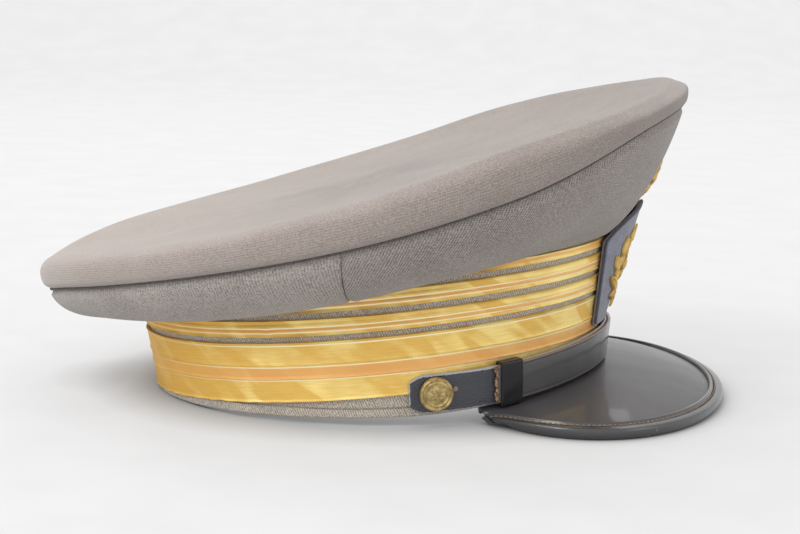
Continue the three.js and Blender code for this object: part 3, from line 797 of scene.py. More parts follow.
@dataclass
class Band:
    """The head band: its oval wall, the laces round it and the levels that all else is set on."""

    length: float = 202.2 * MM
    width: float = 168.8 * MM
    centre: float = -1.6 * MM
    wall: float = 2.4 * MM
    pitch: float = 2.3
    lean: float = 3.4
    lean_ends: float = 4.2
    hem_press: float = 0.6 * MM
    hem_arch: float = 9.6 * MM
    hem_arch_half: float = 82.0
    strip_height: float = 8.8 * MM
    strip_rise: float = 7.1 * MM
    wide_lace: float = 26.4 * MM
    narrow_lace: float = 7.6 * MM
    top_lace: float = 4.0 * MM
    wide_space: float = 2.2 * MM
    narrow_space: float = 2.4 * MM
    lace_thickness: float = 0.8 * MM
    gap: float = 0.3 * MM
    columns: int = 384
    fold_height: float = 4.0 * MM
    fold_depth: float = 0.7 * MM
    groove_depth: float = 0.9 * MM
    groove_half: float = 0.4 * MM
    ridge_height: float = 0.42 * MM
    ridge_half: float = 0.45 * MM
    tuck_azimuth: float = -112.0
    tuck_half: float = 1.1

    @property
    def resting(self) -> float:
        """Distance from the cloth to what rests on the lace."""
        return self.lace_thickness + 2 * self.gap

    def at(self, azimuth: Array, up: Array, out: Array) -> Array:
        """Points on the band's surface.

        An ellipse is moved out along its own normal by the lean times the height plus out, and the
        whole wall is then pitched back about its rear.

        Args:
            azimuth: Degrees from the front.
            up: Height along the wall from the level hem.
            out: Distance out from the cloth.

        Returns:
            Array of points, with the shape of the arguments and a last axis of 3.
        """
        azimuth, up, out = np.broadcast_arrays(*(np.asarray(x, float) for x in (azimuth, up, out)))
        turn = np.radians(azimuth)
        c, s = np.cos(turn), np.sin(turn)
        a, b = self.length / 2, self.width / 2
        size = np.hypot(b * c, a * s)
        lean = np.radians(self.lean + self.lean_ends * np.cos(2 * turn))
        reach = np.sin(lean) * up + out
        x = a * c + b * c / size * reach + a
        y = b * s + a * s / size * reach
        z = np.cos(lean) * up
        pitch = math.radians(self.pitch)
        return np.stack(
            [
                x * math.cos(pitch) - z * math.sin(pitch) - a + self.centre,
                y,
                x * math.sin(pitch) + z * math.cos(pitch) - self.hem_press,
            ],
            axis=-1,
        )

    def hem(self, azimuth: Array) -> Array:
        """Level of the hem: a raised arch over the front."""
        away = np.minimum(1.0, np.abs(wrap_azimuth(azimuth)) / self.hem_arch_half)
        return self.hem_arch * np.cos(np.pi / 2 * away) ** 2

    def wide_bottom(self, azimuth: Array) -> Array:
        """Level of the wide lace's lower edge."""
        return self.strip_height + self.strip_rise * np.cos(np.radians(azimuth))

    def narrow_bottom(self, azimuth: Array, number: int) -> Array:
        """Level of a narrow lace's lower edge, counted from 0."""
        rise = self.wide_lace + self.wide_space + number * (self.narrow_lace + self.narrow_space)
        return self.wide_bottom(azimuth) + rise

    def top(self, azimuth: Array) -> Array:
        """Level of the band's top edge."""
        return self.narrow_bottom(azimuth, 2) + self.top_lace + self.gap

    def cloth(self) -> bpy.types.Object:
        """The band's wall, with a turned hem that stands out below a groove at its fold line.

        Returns:
            The new object.
        """
        azimuth = ring(self.columns)[:, None]
        share = (np.linspace(0.0, 1.0, 110) ** 1.35)[None, :]
        low = self.hem(azimuth)
        level = low + (self.top(azimuth) - low) * share
        above = level - low
        line = self.fold_height + 0.5 * MM * np.sin(np.radians(azimuth) * 5.0)
        fold = self.fold_depth * (1.0 - smooth_step(above, line - 0.25 * MM, line))
        fold -= self.groove_depth * bell(above - line, self.groove_half, self.groove_half)
        wave = 0.2 * MM * np.sin(np.radians(azimuth) * 23.0) * bell(above, 0.0, self.fold_height)
        round_edge = edge_round(above, 1.1 * MM)
        outer = self.at(azimuth, level, (fold + wave) * round_edge - self.wall / 2 * (1 - round_edge))
        inner = self.at(azimuth, level, -self.wall + self.wall / 3 * (1 - round_edge))
        for skin in (outer, inner):
            skin[..., 2] = np.maximum(skin[..., 2], 0.0)
        return wall_piece("band_wall", outer, inner, closed=True)

    def tuck(self, azimuth: Array) -> Array:
        """A small pinch in the narrow lace: a bell curve of azimuth."""
        return bell(wrap_azimuth(azimuth - self.tuck_azimuth), 0.0, self.tuck_half)

    def lace(
        self, name: str, bottom: Callable, width: float, ridges: tuple[float, ...]
    ) -> bpy.types.Object:
        """One ring of lace: a thin wall with raised cords along it.

        Each cord is a bell curve across the lace, and the lower edge is a little scalloped.

        Args:
            name: Name of the object.
            bottom: Gives the level of the lower edge at an azimuth.
            width: Width of the lace.
            ridges: Places of the cords as shares of the width.

        Returns:
            The new object.
        """
        rows = max(10, round(width / (0.42 * MM)))
        azimuth = ring(self.columns)[:, None]
        share = edge_spacing(rows, 0.2)[None, :]
        turn = np.radians(azimuth)
        scallop = 0.22 * MM * np.sin(turn * 64.0) * np.clip(-np.cos(turn), 0.0, 1.0) * (1.0 - share) ** 6
        level = bottom(azimuth) + width * share + scallop
        cords = sum(bell((share - place) * width, 0.0, self.ridge_half) for place in ridges)
        edge = edge_round(np.minimum(share, 1.0 - share) * width, 0.5 * MM)
        if width < self.wide_lace:
            cords = cords + 2.4 * self.tuck(azimuth + 2.0 * share)
        slack = 0.16 * MM * (np.sin(turn * 9.0 + share * 3.0) + np.sin(turn * 17.0 - share * 5.0))
        thick = self.lace_thickness * edge + self.ridge_height * cords + np.maximum(slack, -0.1 * MM)
        outer = self.at(azimuth, level, self.gap + thick)
        inner = self.at(azimuth, level, self.gap)
        return wall_piece(name, outer, inner, closed=True)

    def build(self) -> None:
        """Builds and dresses the band and its laces."""
        cloth = Cloth(
            "band_cloth_ribbed",
            dark=(0.27, 0.24, 0.2),
            light=(0.66, 0.59, 0.51),
            rib_pitch=1.0,
            rib_turn=24.0,
            rib_depth=0.22,
            rib_shade=0.35,
        )
        dress(self.cloth(), cloth, ("band_cloth",))
        edge = 0.018
        cords = (edge, 0.395, 0.62, 1 - edge)
        wide = self.lace("lace_wide_woven", self.wide_bottom, self.wide_lace, cords)
        weave = LaceWeave("wide_lace_thread", self.wide_lace, 0.41, 0.605, cords)
        dress(wide, weave, ("lace_wide",))
        ridges = (0.06, 0.36, 0.64, 0.94)
        for number in (0, 1):
            name = f"lace_narrow_{number + 1}"
            bottom = partial(self.narrow_bottom, number=number)
            narrow = self.lace(f"{name}_woven", bottom, self.narrow_lace, ridges)
            weave = LaceWeave(f"{name}_thread", self.narrow_lace, 0.4, 0.6, ridges[1:3])
            dress(narrow, weave, (name,))
        last = self.lace(
            "lace_narrow_3_woven", partial(self.narrow_bottom, number=2), self.top_lace, (0.12,)
        )
        weave = LaceWeave("lace_narrow_3_thread", self.top_lace, 0.6, 0.95)
        dress(last, weave, ("lace_narrow_3",))


@dataclass
class Crown:
    """The raised crown: the roof with its rolled rim, and the two quarters between it and the band."""

    band: Band
    length: float = 292.5 * MM
    width: float = 243.0 * MM
    centre: float = -8.2 * MM
    egg: float = 0.13
    rise: float = 135.8 * MM
    wall: float = 2.2 * MM
    roll_height: float = 16.0 * MM
    overhang: float = 4.0 * MM
    shoulder: float = 9.0 * MM
    sag: float = 4.0 * MM
    centre_height: float = 95.0 * MM
    droop: float = 33.0 * MM
    flare: float = 10.0 * MM
    columns: int = 320
    quarter_rows: int = 36
    # Inset and radius of the dark seam tube: painted shade for the seam's shadow line.
    shadow_tube_inset: float = 0.8 * MM
    shadow_tube_radius: float = 0.5 * MM
    groove_depth: float = 1.9 * MM
    seam_azimuth: float = 90.0
    stations: dict[str, tuple[float, ...]] = field(
        default_factory=lambda: {
            "seam": (1.0, 0.951, 0.766, 0.598, 0.471, 0.376, 0.314),
            "roll": (0.55, 0.56, 1.22, 1.12, 0.96, 1.0, 1.05),
            "overhang": (0.3, 0.35, 0.5, 0.6, 0.75, 0.9, 1.0),
            "sag": (1.1, 1.1, 1.0, 0.8, 0.6, 0.5, 0.5),
            "low_out": (1.0, 0.9, 0.5, 0.0, 0.0, 0.1, 0.2),
            "low_up": (0.24, 0.1, -0.2, -0.46, -0.68, -0.76, -0.84),
            "top_in": (0.6, 0.6, 0.55, 0.6, 0.6, 0.5, 0.5),
            "top_down": (0.73, 0.73, 0.8, 0.82, 0.7, 0.52, 0.5),
        }
    )
    rim_rows: tuple[tuple[float, float, float], ...] = (
        (-0.5, 0.0, 0.0),
        (0.62, 0.14, 0.0),
        (1.0, 0.48, 0.0),
        (0.5, 0.76, 0.0),
        (0.0, 0.93, 0.35),
        (0.0, 1.0, 1.0),
    )
    roof_rows: tuple[float, ...] = (0.9, 0.76, 0.55, 0.32, 0.14)

    def station(self, name: str, azimuth: Array) -> Array:
        """A smooth column of the station table: a cubic through the values 30 degrees apart."""
        values = np.array(self.stations[name])
        last = len(values) - 1
        place = np.abs(wrap_azimuth(azimuth)) / 180.0 * last
        span = np.minimum(place.astype(int), last - 1)
        t = place - span
        before, here, after, beyond = (
            values[np.where(index < 0, -index, np.where(index > last, 2 * last - index, index))]
            for index in (span - 1, span, span + 1, span + 2)
        )
        return hermite(t, here, after, (after - before) / 2, (beyond - here) / 2)

    def seam(self, azimuth: Array) -> Array:
        """Points of the seam ring: an egg-shaped oval that rises to the front."""
        turn = np.radians(azimuth)
        c, s = np.cos(turn), np.sin(turn)
        x = self.centre + self.length / 2 * c
        y = self.width / 2 * s * (1 + self.egg * c)
        return np.stack([x, y, self.rise * self.station("seam", azimuth)], axis=-1)

    def outwards(self, azimuth: Array) -> Array:
        """Level unit vectors from the crown's centre to its seam."""
        out = self.seam(azimuth) - [self.centre, 0.0, 0.0]
        out[..., 2] = 0.0
        return unit(out)

    def ripple(self, azimuth: Array, share: Array) -> Array:
        """Slight unevenness of the cloth: a sum of slow sines of azimuth and share."""
        turn = np.radians(azimuth)
        slow = np.sin(3 * turn + 1.3 + 2.0 * share) + 0.6 * np.sin(7 * turn + 4.0 * share)
        return 0.13 * MM * slow + 0.06 * MM * np.sin(19 * turn + 9.0 * share)

    def roof_skin(self) -> Array:
        """The roof's outer skin: a spline through the rim rows and the roof rows at each azimuth."""
        azimuth = ring(self.columns)
        seam, out = self.seam(azimuth), self.outwards(azimuth)
        overhang = self.overhang * self.station("overhang", azimuth)
        roll = self.roll_height * self.station("roll", azimuth)
        knots = []
        for row_out, row_up, row_shoulder in self.rim_rows:
            point = seam + out * (row_out * overhang - row_shoulder * self.shoulder)[:, None]
            point[:, 2] = seam[:, 2] + self.band.gap / 2 + row_up * roll
            knots.append(point)
        centre = np.array([self.centre, 0.0, self.centre_height])
        rim_end, sag = knots[-1], self.sag * self.station("sag", azimuth)
        for share in self.roof_rows:
            point = centre + (rim_end - centre) * share
            point[:, 2] -= sag * math.sin(math.pi * share**1.7)
            knots.append(point)
        knots.append(np.broadcast_to(centre, seam.shape))
        skin = spline(np.stack(knots, axis=1), 7)
        share = np.linspace(0.0, 1.0, skin.shape[1])[None, :]
        fade = np.sin(np.pi * share) ** 0.5
        skin[..., 2] += self.ripple(azimuth[:, None], share) * fade
        return skin

    def roof(self) -> bpy.types.Object:
        """The roof: its skin and the same skin moved in by the cloth's wall."""
        outer = self.roof_skin()
        inner = outer - self.facing_out(outer) * self.wall
        inner[:, -1] = outer[:, -1] - [0.0, 0.0, self.wall]
        return wall_piece("crown_roof", outer, inner, closed=True, pole=True)

    def seam_shadow_tube(self) -> bpy.types.Object:
        """A dark seam thread in the groove between the roof and the quarters, thick and dark to stand in
        for the shadow line there: partly real thread, mostly painted shade.
        """
        azimuth = ring(self.columns)
        path = self.seam(azimuth) - self.outwards(azimuth) * self.shadow_tube_inset
        return tube_piece("crown_seam_thread", path, self.shadow_tube_radius, closed=True)

    def facing_out(self, skin: Array) -> Array:
        """Normals of the roof's skin that point away from the hollow."""
        normals = grid_normals(skin, True)
        on_roof = skin.shape[1] // 2
        return normals * np.sign(normals[:, on_roof, 2].mean())

    def curve_points(self, azimuth: Array) -> tuple[Array, Array, Array, Array]:
        """The four control points of the quarters' Bezier columns, from the band up to the seam."""
        band = self.band
        low = band.at(azimuth, band.top(azimuth) + band.gap, band.resting)
        top = self.seam(azimuth) - [0.0, 0.0, band.gap / 2]
        out, up = self.outwards(azimuth), np.array([0.0, 0.0, 1.0])

        def handle(base: Array, sign: float, out_name: str, up_name: str) -> Array:
            away = self.flare * self.station(out_name, azimuth)[..., None]
            lift = self.droop * self.station(up_name, azimuth)[..., None]
            return base + sign * (out * away + up * lift)

        return low, handle(low, 1.0, "low_out", "low_up"), handle(top, -1.0, "top_in", "top_down"), top

    def quarter(self, name: str, start: float, end: float) -> bpy.types.Object:
        """A quarter: a Bezier column from the band to the seam at each azimuth.

        The two ends turn in beside the side seam, the lower edge is rounded, and the top turns in to
        leave a groove under the roof.

        Args:
            name: Name of the object.
            start: First azimuth.
            end: Last azimuth.

        Returns:
            The new object.
        """
        half_gap = math.degrees(0.5 * self.band.gap / (self.width / 2))
        run = end - start - 2 * half_gap
        azimuth = start + half_gap + run * edge_spacing(self.columns // 2, 0.5)
        t = np.linspace(0.0, 1.0, self.quarter_rows)[None, :, None]
        outer = bezier(t, *(point[:, None] for point in self.curve_points(azimuth)))
        normals = grid_normals(outer, False)
        half_way = normals[:, self.quarter_rows // 2]
        normals *= np.sign((half_way * self.outwards(azimuth)).sum(axis=1).mean())
        to_end = np.minimum(azimuth - azimuth[0], azimuth[-1] - azimuth) * math.radians(1) * self.width / 2
        turn_in = 0.9 * MM * (1.0 - smooth_step(to_end, 0.0, 1.5 * MM))
        swell = 0.35 * MM * bell(to_end, 3.0 * MM, 1.6 * MM)
        share = t[..., 0]
        low_round = 1.0 * MM * (1.0 - smooth_step(share, 0.0, 0.06))
        groove = self.groove_depth * smooth_step(share, 0.94, 0.985)
        ripple = self.ripple(azimuth[:, None], share) * np.sin(np.pi * share) ** 0.5
        move = (swell - turn_in)[:, None] * np.ones_like(share) - low_round - groove + ripple
        inner = outer - normals * self.wall
        outer = outer + normals * np.maximum(move, -0.8 * self.wall)[..., None]
        return wall_piece(name, outer, inner)

    def build(self) -> None:
        """Builds and dresses the roof and the quarters."""
        # Painted shade: the roof's fade darkens its cloth towards the front.
        roof = Cloth(
            "roof_cloth",
            dark=(0.22, 0.187, 0.169),
            light=(0.385, 0.332, 0.302),
            rib_pitch=1.0,
            rib_turn=90.0,
            rib_depth=0.13,
            rib_shade=0.13,
            fleck_share=0.65,
            fade=0.08,
        )
        dress(self.roof(), roof, ("crown_top",))
        # Painted shade: the dark tube in the seam stands in for the shadow line under the roof's edge.
        thread = Plain("seam_shadow_tube", (0.05, 0.045, 0.04), (0.11, 0.1, 0.09), spot=1.0)
        dress(self.seam_shadow_tube(), thread)
        # Painted shade: the front quarter's cloth is a darker copy of the rear quarter's cloth.
        front = Cloth(
            "front_quarter_cloth",
            dark=(0.16, 0.14, 0.127),
            light=(0.38, 0.34, 0.31),
            rib_pitch=1.15,
            rib_turn=-24.0,
            rib_depth=0.18,
            rib_shade=0.34,
        )
        rear = Cloth(
            "rear_quarter_cloth",
            dark=(0.19, 0.17, 0.155),
            light=(0.43, 0.39, 0.36),
            rib_pitch=1.15,
            rib_turn=8.0,
            rib_depth=0.18,
            rib_shade=0.2,
        )
        side = self.seam_azimuth
        for name, start, end, cloth in (("front", -side, side, front), ("rear", side, 360 - side, rear)):
            piece = self.quarter(f"crown_{name}_quarter", start, end)
            dress(piece, cloth, (f"quarter_{name}",))


@dataclass
class Peak:
    """The leather peak, its folded binding, and the stitches and bead along the binding."""

    band: Band
    centre: float = 94.5 * MM
    reach: float = 66.0 * MM
    width: float = 195.0 * MM
    half_angle: float = 60.0
    rim_half_angle: float = 129.0
    leather: float = 2.4 * MM
    dome: float = 3.0 * MM
    binding_leg: float = 6.0 * MM
    binding_leather: float = 1.0 * MM
    bead_inset: float = 5.2 * MM
    stitch_inset: float = 3.5 * MM
    columns: int = 220
    stitch_pitch: float = 2.3 * MM
    stitch_radius: float = 0.34 * MM

    def rim(self, share: Array) -> Array:
        """Points of the rim at shares from -1 to 1: most of an oval."""
        turn = np.radians(share * self.rim_half_angle)
        inset = self.binding_leather + self.band.gap
        x = self.centre + (self.reach - inset) * np.cos(turn)
        y = (self.width / 2 - inset) * np.sin(turn)
        return np.stack([x, y, np.full_like(x, self.leather / 2 + inset)], axis=-1)

    def shelf(self, share: Array, out: float) -> Array:
        """Points of the leather's middle line under the hem, at a distance out from the cloth."""
        azimuth = share * self.half_angle
        level = self.band.hem(azimuth) - self.band.gap - self.leather / 2
        return self.band.at(azimuth, level, out)[:, None]

    def middle(self, share: Array, across: Array) -> Array:
        """The peak's middle surface.

        A straight line from under the hem to the rim, lifted by a parabola: four times the dome
        height times across times one less across.

        Args:
            share: Shares of the half angle, of shape (columns,).
            across: Shares from the hem to the rim, of shape (rows,).

        Returns:
            Array of shape (columns, rows, 3).
        """
        shelf, rim = self.shelf(share, self.band.gap), self.rim(share)[:, None]
        width = np.linalg.norm(rim - shelf, axis=2, keepdims=True)
        dome = 4 * self.dome * np.minimum(1.0, width / self.reach)
        v = across[None, :, None]
        flat = 1.0 - np.minimum(0.5, (self.binding_leg + 2 * MM) / width)
        points = shelf + (rim - shelf) * v
        points[..., 2:] += np.where(v < flat, dome * v * (1 - v), 0.0)
        edge_lift = dome * flat * (1 - flat) * (1 - v) / (1 - flat)
        points[..., 2:] += np.where(v < flat, 0.0, edge_lift)
        return points

    def sheet(self) -> bpy.types.Object:
        """The peak's leather: the middle surface moved both ways by half its thickness."""
        share = np.linspace(-1.0, 1.0, self.columns)
        start = self.shelf(share, -self.band.wall * 0.7)
        middle = np.concatenate([start, self.middle(share, np.linspace(0.0, 1.0, 44))], axis=1)
        normals = grid_normals(middle, False)
        normals *= np.sign(normals[..., 2].mean())
        half = self.leather / 2 * normals
        return wall_piece("peak_leather", middle + half, middle - half)

    def leg_share(self, share: Array) -> Array:
        """How much of the binding's leg there is room for between the rim and the hem."""
        ends = self.middle(share, np.array([0.0, 1.0]))
        width = np.linalg.norm(ends[:, 1] - ends[:, 0], axis=1)
        return np.clip((width - 1 * MM) / (self.binding_leg + 3 * MM), 0.25, 1.0)

    def rim_frames(self, count: int) -> tuple[Array, Array, Array, Array]:
        """Points of the rim, the ways out and up from the leather there, and the binding's leg share."""
        share = np.linspace(-1.0, 1.0, count)
        rim = self.middle(share, np.array([0.9, 1.0]))
        out = unit(rim[:, 1] - rim[:, 0])
        up = unit(np.cross(np.gradient(rim[:, 1], axis=0), out))
        return rim[:, 1], out, up * np.sign(up[:, 2:]), self.leg_share(share)[:, None]

    def binding(self) -> bpy.types.Object:
        """The binding: a C-shaped section of leather carried along the rim.

        The outer skin of the section is a run in, a half round nose and a run back. A groove for the
        stitches is a bell curve along the upper run, with a raised bead at its inner edge.

        Returns:
            The new object.
        """
        rim, out, up, leg_share = self.rim_frames(self.columns)
        inner_level = self.band.gap + self.leather / 2
        outer_level = inner_level + self.binding_leather
        leg = np.linspace(-self.binding_leg, 0.0, 26)
        turn = np.linspace(0.0, np.pi, 18)[1:-1]

        def section(level: float, nose: float, relief: bool) -> tuple[Array, Array]:
            raised = np.zeros_like(leg)
            if relief:
                raised = 0.5 * MM * bell(leg, -self.bead_inset, 0.55 * MM)
                raised -= 0.45 * MM * bell(leg, -self.stitch_inset, 0.6 * MM)
                raised += 0.25 * MM * bell(leg, -0.6 * MM, 1.3 * MM)
            along = np.concatenate([leg, nose * np.sin(turn), leg[::-1]])
            lift = np.concatenate([level + raised, level * np.cos(turn), -level - 0.3 * raised[::-1]])
            return along, lift

        skins = []
        for level, nose, relief in (
            (outer_level, self.band.gap + self.binding_leather, True),
            (inner_level, self.band.gap, False),
        ):
            along, lift = section(level, nose, relief)
            reach = np.where(along < 0, along * leg_share, along)[..., None]
            skins.append(rim[:, None] + out[:, None] * reach + up[:, None] * lift[None, :, None])
        for skin in skins:
            skin[..., 2] = np.maximum(skin[..., 2], 0.0)
        return wall_piece("peak_edge_binding", skins[0], skins[1])

    def stitches(self) -> bpy.types.Object:
        """A row of short threads in the binding's groove, each a small pinched tube."""
        rim, out, up, leg_share = self.rim_frames(900)
        run = np.concatenate([[0.0], np.cumsum(np.linalg.norm(np.diff(rim, axis=0), axis=1))])
        level = self.band.gap + self.leather / 2 + self.binding_leather - 0.1 * MM
        line = rim - out * self.stitch_inset * leg_share + up * level
        pieces = []
        for number in range(int(run[-1] / self.stitch_pitch)):
            ends = (number + np.array([0.12, 0.3, 0.5, 0.7, 0.88])) * self.stitch_pitch
            path = np.stack([np.interp(ends, run, line[:, axis]) for axis in range(3)], axis=1)
            path[:, 2] += 0.12 * MM * STITCH_BEND
            pieces.append(tube_piece(f"stitch_{number}", path, self.stitch_radius, 6))
        return join_pieces("peak_binding_stitches", pieces)

    def build(self) -> None:
        """Builds and dresses the peak."""
        gloss = Hide(
            "peak_patent",
            colour=(0.06, 0.056, 0.061),
            worn=(0.22, 0.22, 0.23),
            roughness=0.34,
            rough_range=0.2,
            crease=0.5,
            coat=0.35,
            scratch=0.8,
        )
        dress(self.sheet(), gloss, ("peak",))
        folded = Hide(
            "binding_patent",
            colour=(0.042, 0.042, 0.046),
            worn=(0.34, 0.34, 0.36),
            roughness=0.24,
            crease=0.3,
            scratch=0.9,
        )
        dress(self.binding(), folded, ("peak_binding",))
        thread = Plain("brown_thread", (0.13, 0.085, 0.055), (0.34, 0.24, 0.17), spot=0.4)
        dress(self.stitches(), thread)


@dataclass
class ChinStrap:
    """The two lengths of the chin strap, their keepers, and the side buttons."""

    band: Band
    width: float = 16.8 * MM
    leather: float = 1.6 * MM
    end_height: float = 10.2 * MM
    rise: float = 8.5 * MM
    button_azimuth: float = 72.0
    end_azimuth: float = 78.4
    inner_end_azimuth: float = 57.0
    keeper_length: float = 10.0 * MM
    keeper_leather: float = 1.0 * MM
    keeper_slack: float = 0.4 * MM
    fade: float = 12.0
    button_diameter: float = 14.8 * MM
    button_height: float = 4.2 * MM
    post_diameter: float = 2.6 * MM
    button_profile: tuple[tuple[float, float], ...] = (
        (1.0, 0.38), (0.985, 0.6), (0.93, 0.76), (0.87, 0.79), (0.81, 0.7), (0.75, 0.74),
        (0.68, 0.83), (0.62, 0.76), (0.5, 0.82), (0.3, 0.9), (0.12, 0.95), (0.0, 0.96),
    )
    stitch_places: tuple[tuple[float, float], ...] = ((57.4, 6.2), (56.6, 3.8), (56.7, -3.2), (57.2, -6.4))

    @property
    def under_out(self) -> float:
        """Distance of the under strap's inner face from the cloth round the front."""
        return self.band.resting + self.keeper_leather + self.band.gap

    @property
    def over_out(self) -> float:
        """Distance of the over strap's inner face from the cloth round the front."""
        return self.under_out + self.leather + self.band.gap

    def middle(self, azimuth: Array) -> Array:
        """Level of the strap's middle line."""
        away = np.minimum(1.0, np.abs(wrap_azimuth(azimuth)) / (self.end_azimuth + 4))
        return self.end_height + self.rise * np.cos(np.pi / 2 * away) ** 2

    def face(self, side: int, azimuth: Array) -> Array:
        """Distance of a strap's inner face from the cloth: it comes down to the lace at its button."""
        high = self.under_out if side > 0 else self.over_out
        ease = smooth_step(-side * azimuth, self.button_azimuth - self.fade, self.button_azimuth - 2)
        return high + (self.band.resting - high) * ease

    def strap(self, name: str, side: int) -> bpy.types.Object:
        """One length of the strap: a rounded flat section, with clipped corners at its buttoned end.

        Args:
            name: Name of the object.
            side: 1 for the length buttoned at the right, -1 for the left.

        Returns:
            The new object.
        """
        metres = math.radians(1) * (self.band.width / 2 + 8 * MM)
        from_end = np.linspace(0.0, 1.0, 260) ** 1.6 * (self.end_azimuth + self.inner_end_azimuth)
        azimuth = (side * (from_end - self.end_azimuth))[:, None]
        share = edge_spacing(26)[None, :]
        run = (from_end * metres)[:, None]
        clip = np.clip(run / (self.width * 0.32), 0.0, 1.0)
        half = self.width / 2 * (0.5 + 0.5 * np.sqrt(clip))
        up = self.middle(azimuth) + (2 * share - 1) * half
        to_far = (from_end[-1] * metres) - run
        to_side = np.minimum(share, 1 - share) * 2 * half
        thick = self.leather / 2 * edge_round(np.minimum(to_side, np.minimum(run, to_far)), 0.55 * MM)
        score = 0.16 * MM * bell(to_side, 1.5 * MM, 0.3 * MM)
        bow = 0.25 * MM * np.sin(azimuth * 0.35) * (1 - smooth_step(-side * azimuth, 50.0, 60.0))
        base = self.face(side, azimuth) + self.leather / 2 + np.abs(bow) * 0.5
        outer = self.band.at(azimuth, up, base + thick - score)
        inner = self.band.at(azimuth, up, base - thick)
        return wall_piece(name, outer, inner)

    def keeper(self, name: str, side: int) -> bpy.types.Object:
        """A keeper: a band of leather round both straps, a rounded box section along the strap.

        Args:
            name: Name of the object.
            side: 1 for the keeper at the left, -1 for the right.

        Returns:
            The new object.
        """
        degrees = math.degrees(self.keeper_length / (self.band.width / 2 + 12 * MM))
        length = edge_spacing(22)
        azimuth = side * (self.inner_end_azimuth - 1 - degrees * length)[None, :]
        low = self.under_out - self.band.gap
        high = self.over_out + self.leather + self.band.gap
        half_wide, half_deep = self.width / 2 + self.keeper_slack, (high - low) / 2
        turn = np.linspace(0.0, 2 * np.pi, 96, endpoint=False)[:, None]
        power = 0.22
        wide = np.sign(np.cos(turn)) * np.abs(np.cos(turn)) ** power
        deep = np.sign(np.sin(turn)) * np.abs(np.sin(turn)) ** power
        edge = edge_round(np.minimum(length, 1 - length) * self.keeper_length, 0.4 * MM)[None, :]
        mid = self.keeper_leather / 2

        def skin(grow: Array) -> Array:
            up = self.middle(azimuth) + wide * (half_wide + grow)
            return self.band.at(azimuth, up, (low + high) / 2 + deep * (half_deep + grow))

        return wall_piece(name, skin(mid + mid * edge), skin(mid - mid * edge), closed=True)

    def button_frame(self, azimuth: float) -> tuple[Array, Array, Array, Array]:
        """Place of a button's seat with the ways along, up and out of the strap there."""
        out = self.band.resting + self.leather
        up = float(self.middle(np.array(azimuth)))
        origin = self.band.at(azimuth, up, out)
        outward = unit(self.band.at(azimuth, up, out + MM) - origin)
        side = unit(np.cross(self.band.at(azimuth, up + MM, out) - origin, outward))
        return origin, side, np.cross(outward, side), outward

    def button(self, name: str, azimuth: float) -> bpy.types.Object:
        """A button: a profile turned round its axis, with a plain rosette raised on its face.

        The face's height is the profile of radius, plus a cosine of the angle within the inner ring,
        and fine beads at the ring.

        Args:
            name: Name of the object.
            azimuth: Place round the band.

        Returns:
            The new object.
        """
        radius, height, post = self.button_diameter / 2, self.button_height, self.post_diameter / 2
        gap = self.band.gap
        back = np.array([[post, -(self.leather + gap)], [post, gap], [radius * 0.86, gap]])
        face = np.array(self.button_profile) * [radius, height]
        profile = spline(np.concatenate([back, face])[None], 5)[0]
        r = np.maximum(profile[:, 0], 0.0)[None, :]
        turn = np.linspace(0.0, 2 * np.pi, 144, endpoint=False)[:, None]
        relative = r / radius
        upper = profile[None, :, 1] > height * 0.5
        petals = np.abs(np.cos(4 * turn)) ** 0.6 * bell(relative, 0.33, 0.15)
        core = bell(relative, 0.0, 0.11)
        beads = np.cos(36 * turn) * bell(relative, 0.68, 0.05)
        h = profile[None, :, 1] + upper * (0.34 * MM * petals + 0.3 * MM * core + 0.09 * MM * beads)
        origin, side, rise, outward = self.button_frame(azimuth)
        spoke = np.cos(turn)[..., None] * side + np.sin(turn)[..., None] * rise
        outer = origin + spoke * r[..., None] + h[..., None] * outward
        thin = 0.25 * MM
        inner = origin + spoke * (r * 0.6)[..., None] + (h - thin * upper)[..., None] * outward
        return wall_piece(name, outer, inner, closed=True, pole=True)

    def keeper_stitches(self, name: str, side: int) -> bpy.types.Object:
        """Short tan threads across the strap's end and through the keeper's foot.

        Args:
            name: Name of the object.
            side: 1 for the left keeper, -1 for the right.

        Returns:
            The new object.
        """
        out = (self.over_out if side < 0 else self.under_out) + self.leather + 0.35 * MM * STITCH_BEND
        ends = np.linspace(-0.6, 0.6, 5)
        pieces = []
        for number, (azimuth, up) in enumerate(self.stitch_places):
            place = side * azimuth
            centre = float(self.middle(np.array(place)))
            path = self.band.at(place + side * ends * 0.35, centre + (up + ends) * MM, out)
            pieces.append(tube_piece(f"{name}_{number}", path, 0.3 * MM, 8))
        return join_pieces(name, pieces)

    def raw_end(self, name: str, side: int) -> bpy.types.Object:
        """The raw cut end of a strap beside its keeper: an uneven cord of leather across the strap.

        Args:
            name: Name of the object.
            side: 1 for the left keeper, -1 for the right.

        Returns:
            The new object.
        """
        share = np.linspace(-1.0, 1.0, 40)
        wander = 0.22 * np.sin(share * 9.0) + 0.12 * np.sin(share * 23.0 + 1.0)
        azimuth = side * (self.inner_end_azimuth - 0.15 + wander)
        out = (self.over_out if side < 0 else self.under_out) + self.leather * 0.55
        up = self.middle(azimuth) + share * self.width / 2 * 0.97
        path = self.band.at(azimuth, up, out + 0.2 * MM * np.sin(share * 14.0))
        return tube_piece(name, path, 0.65 * MM, 10)

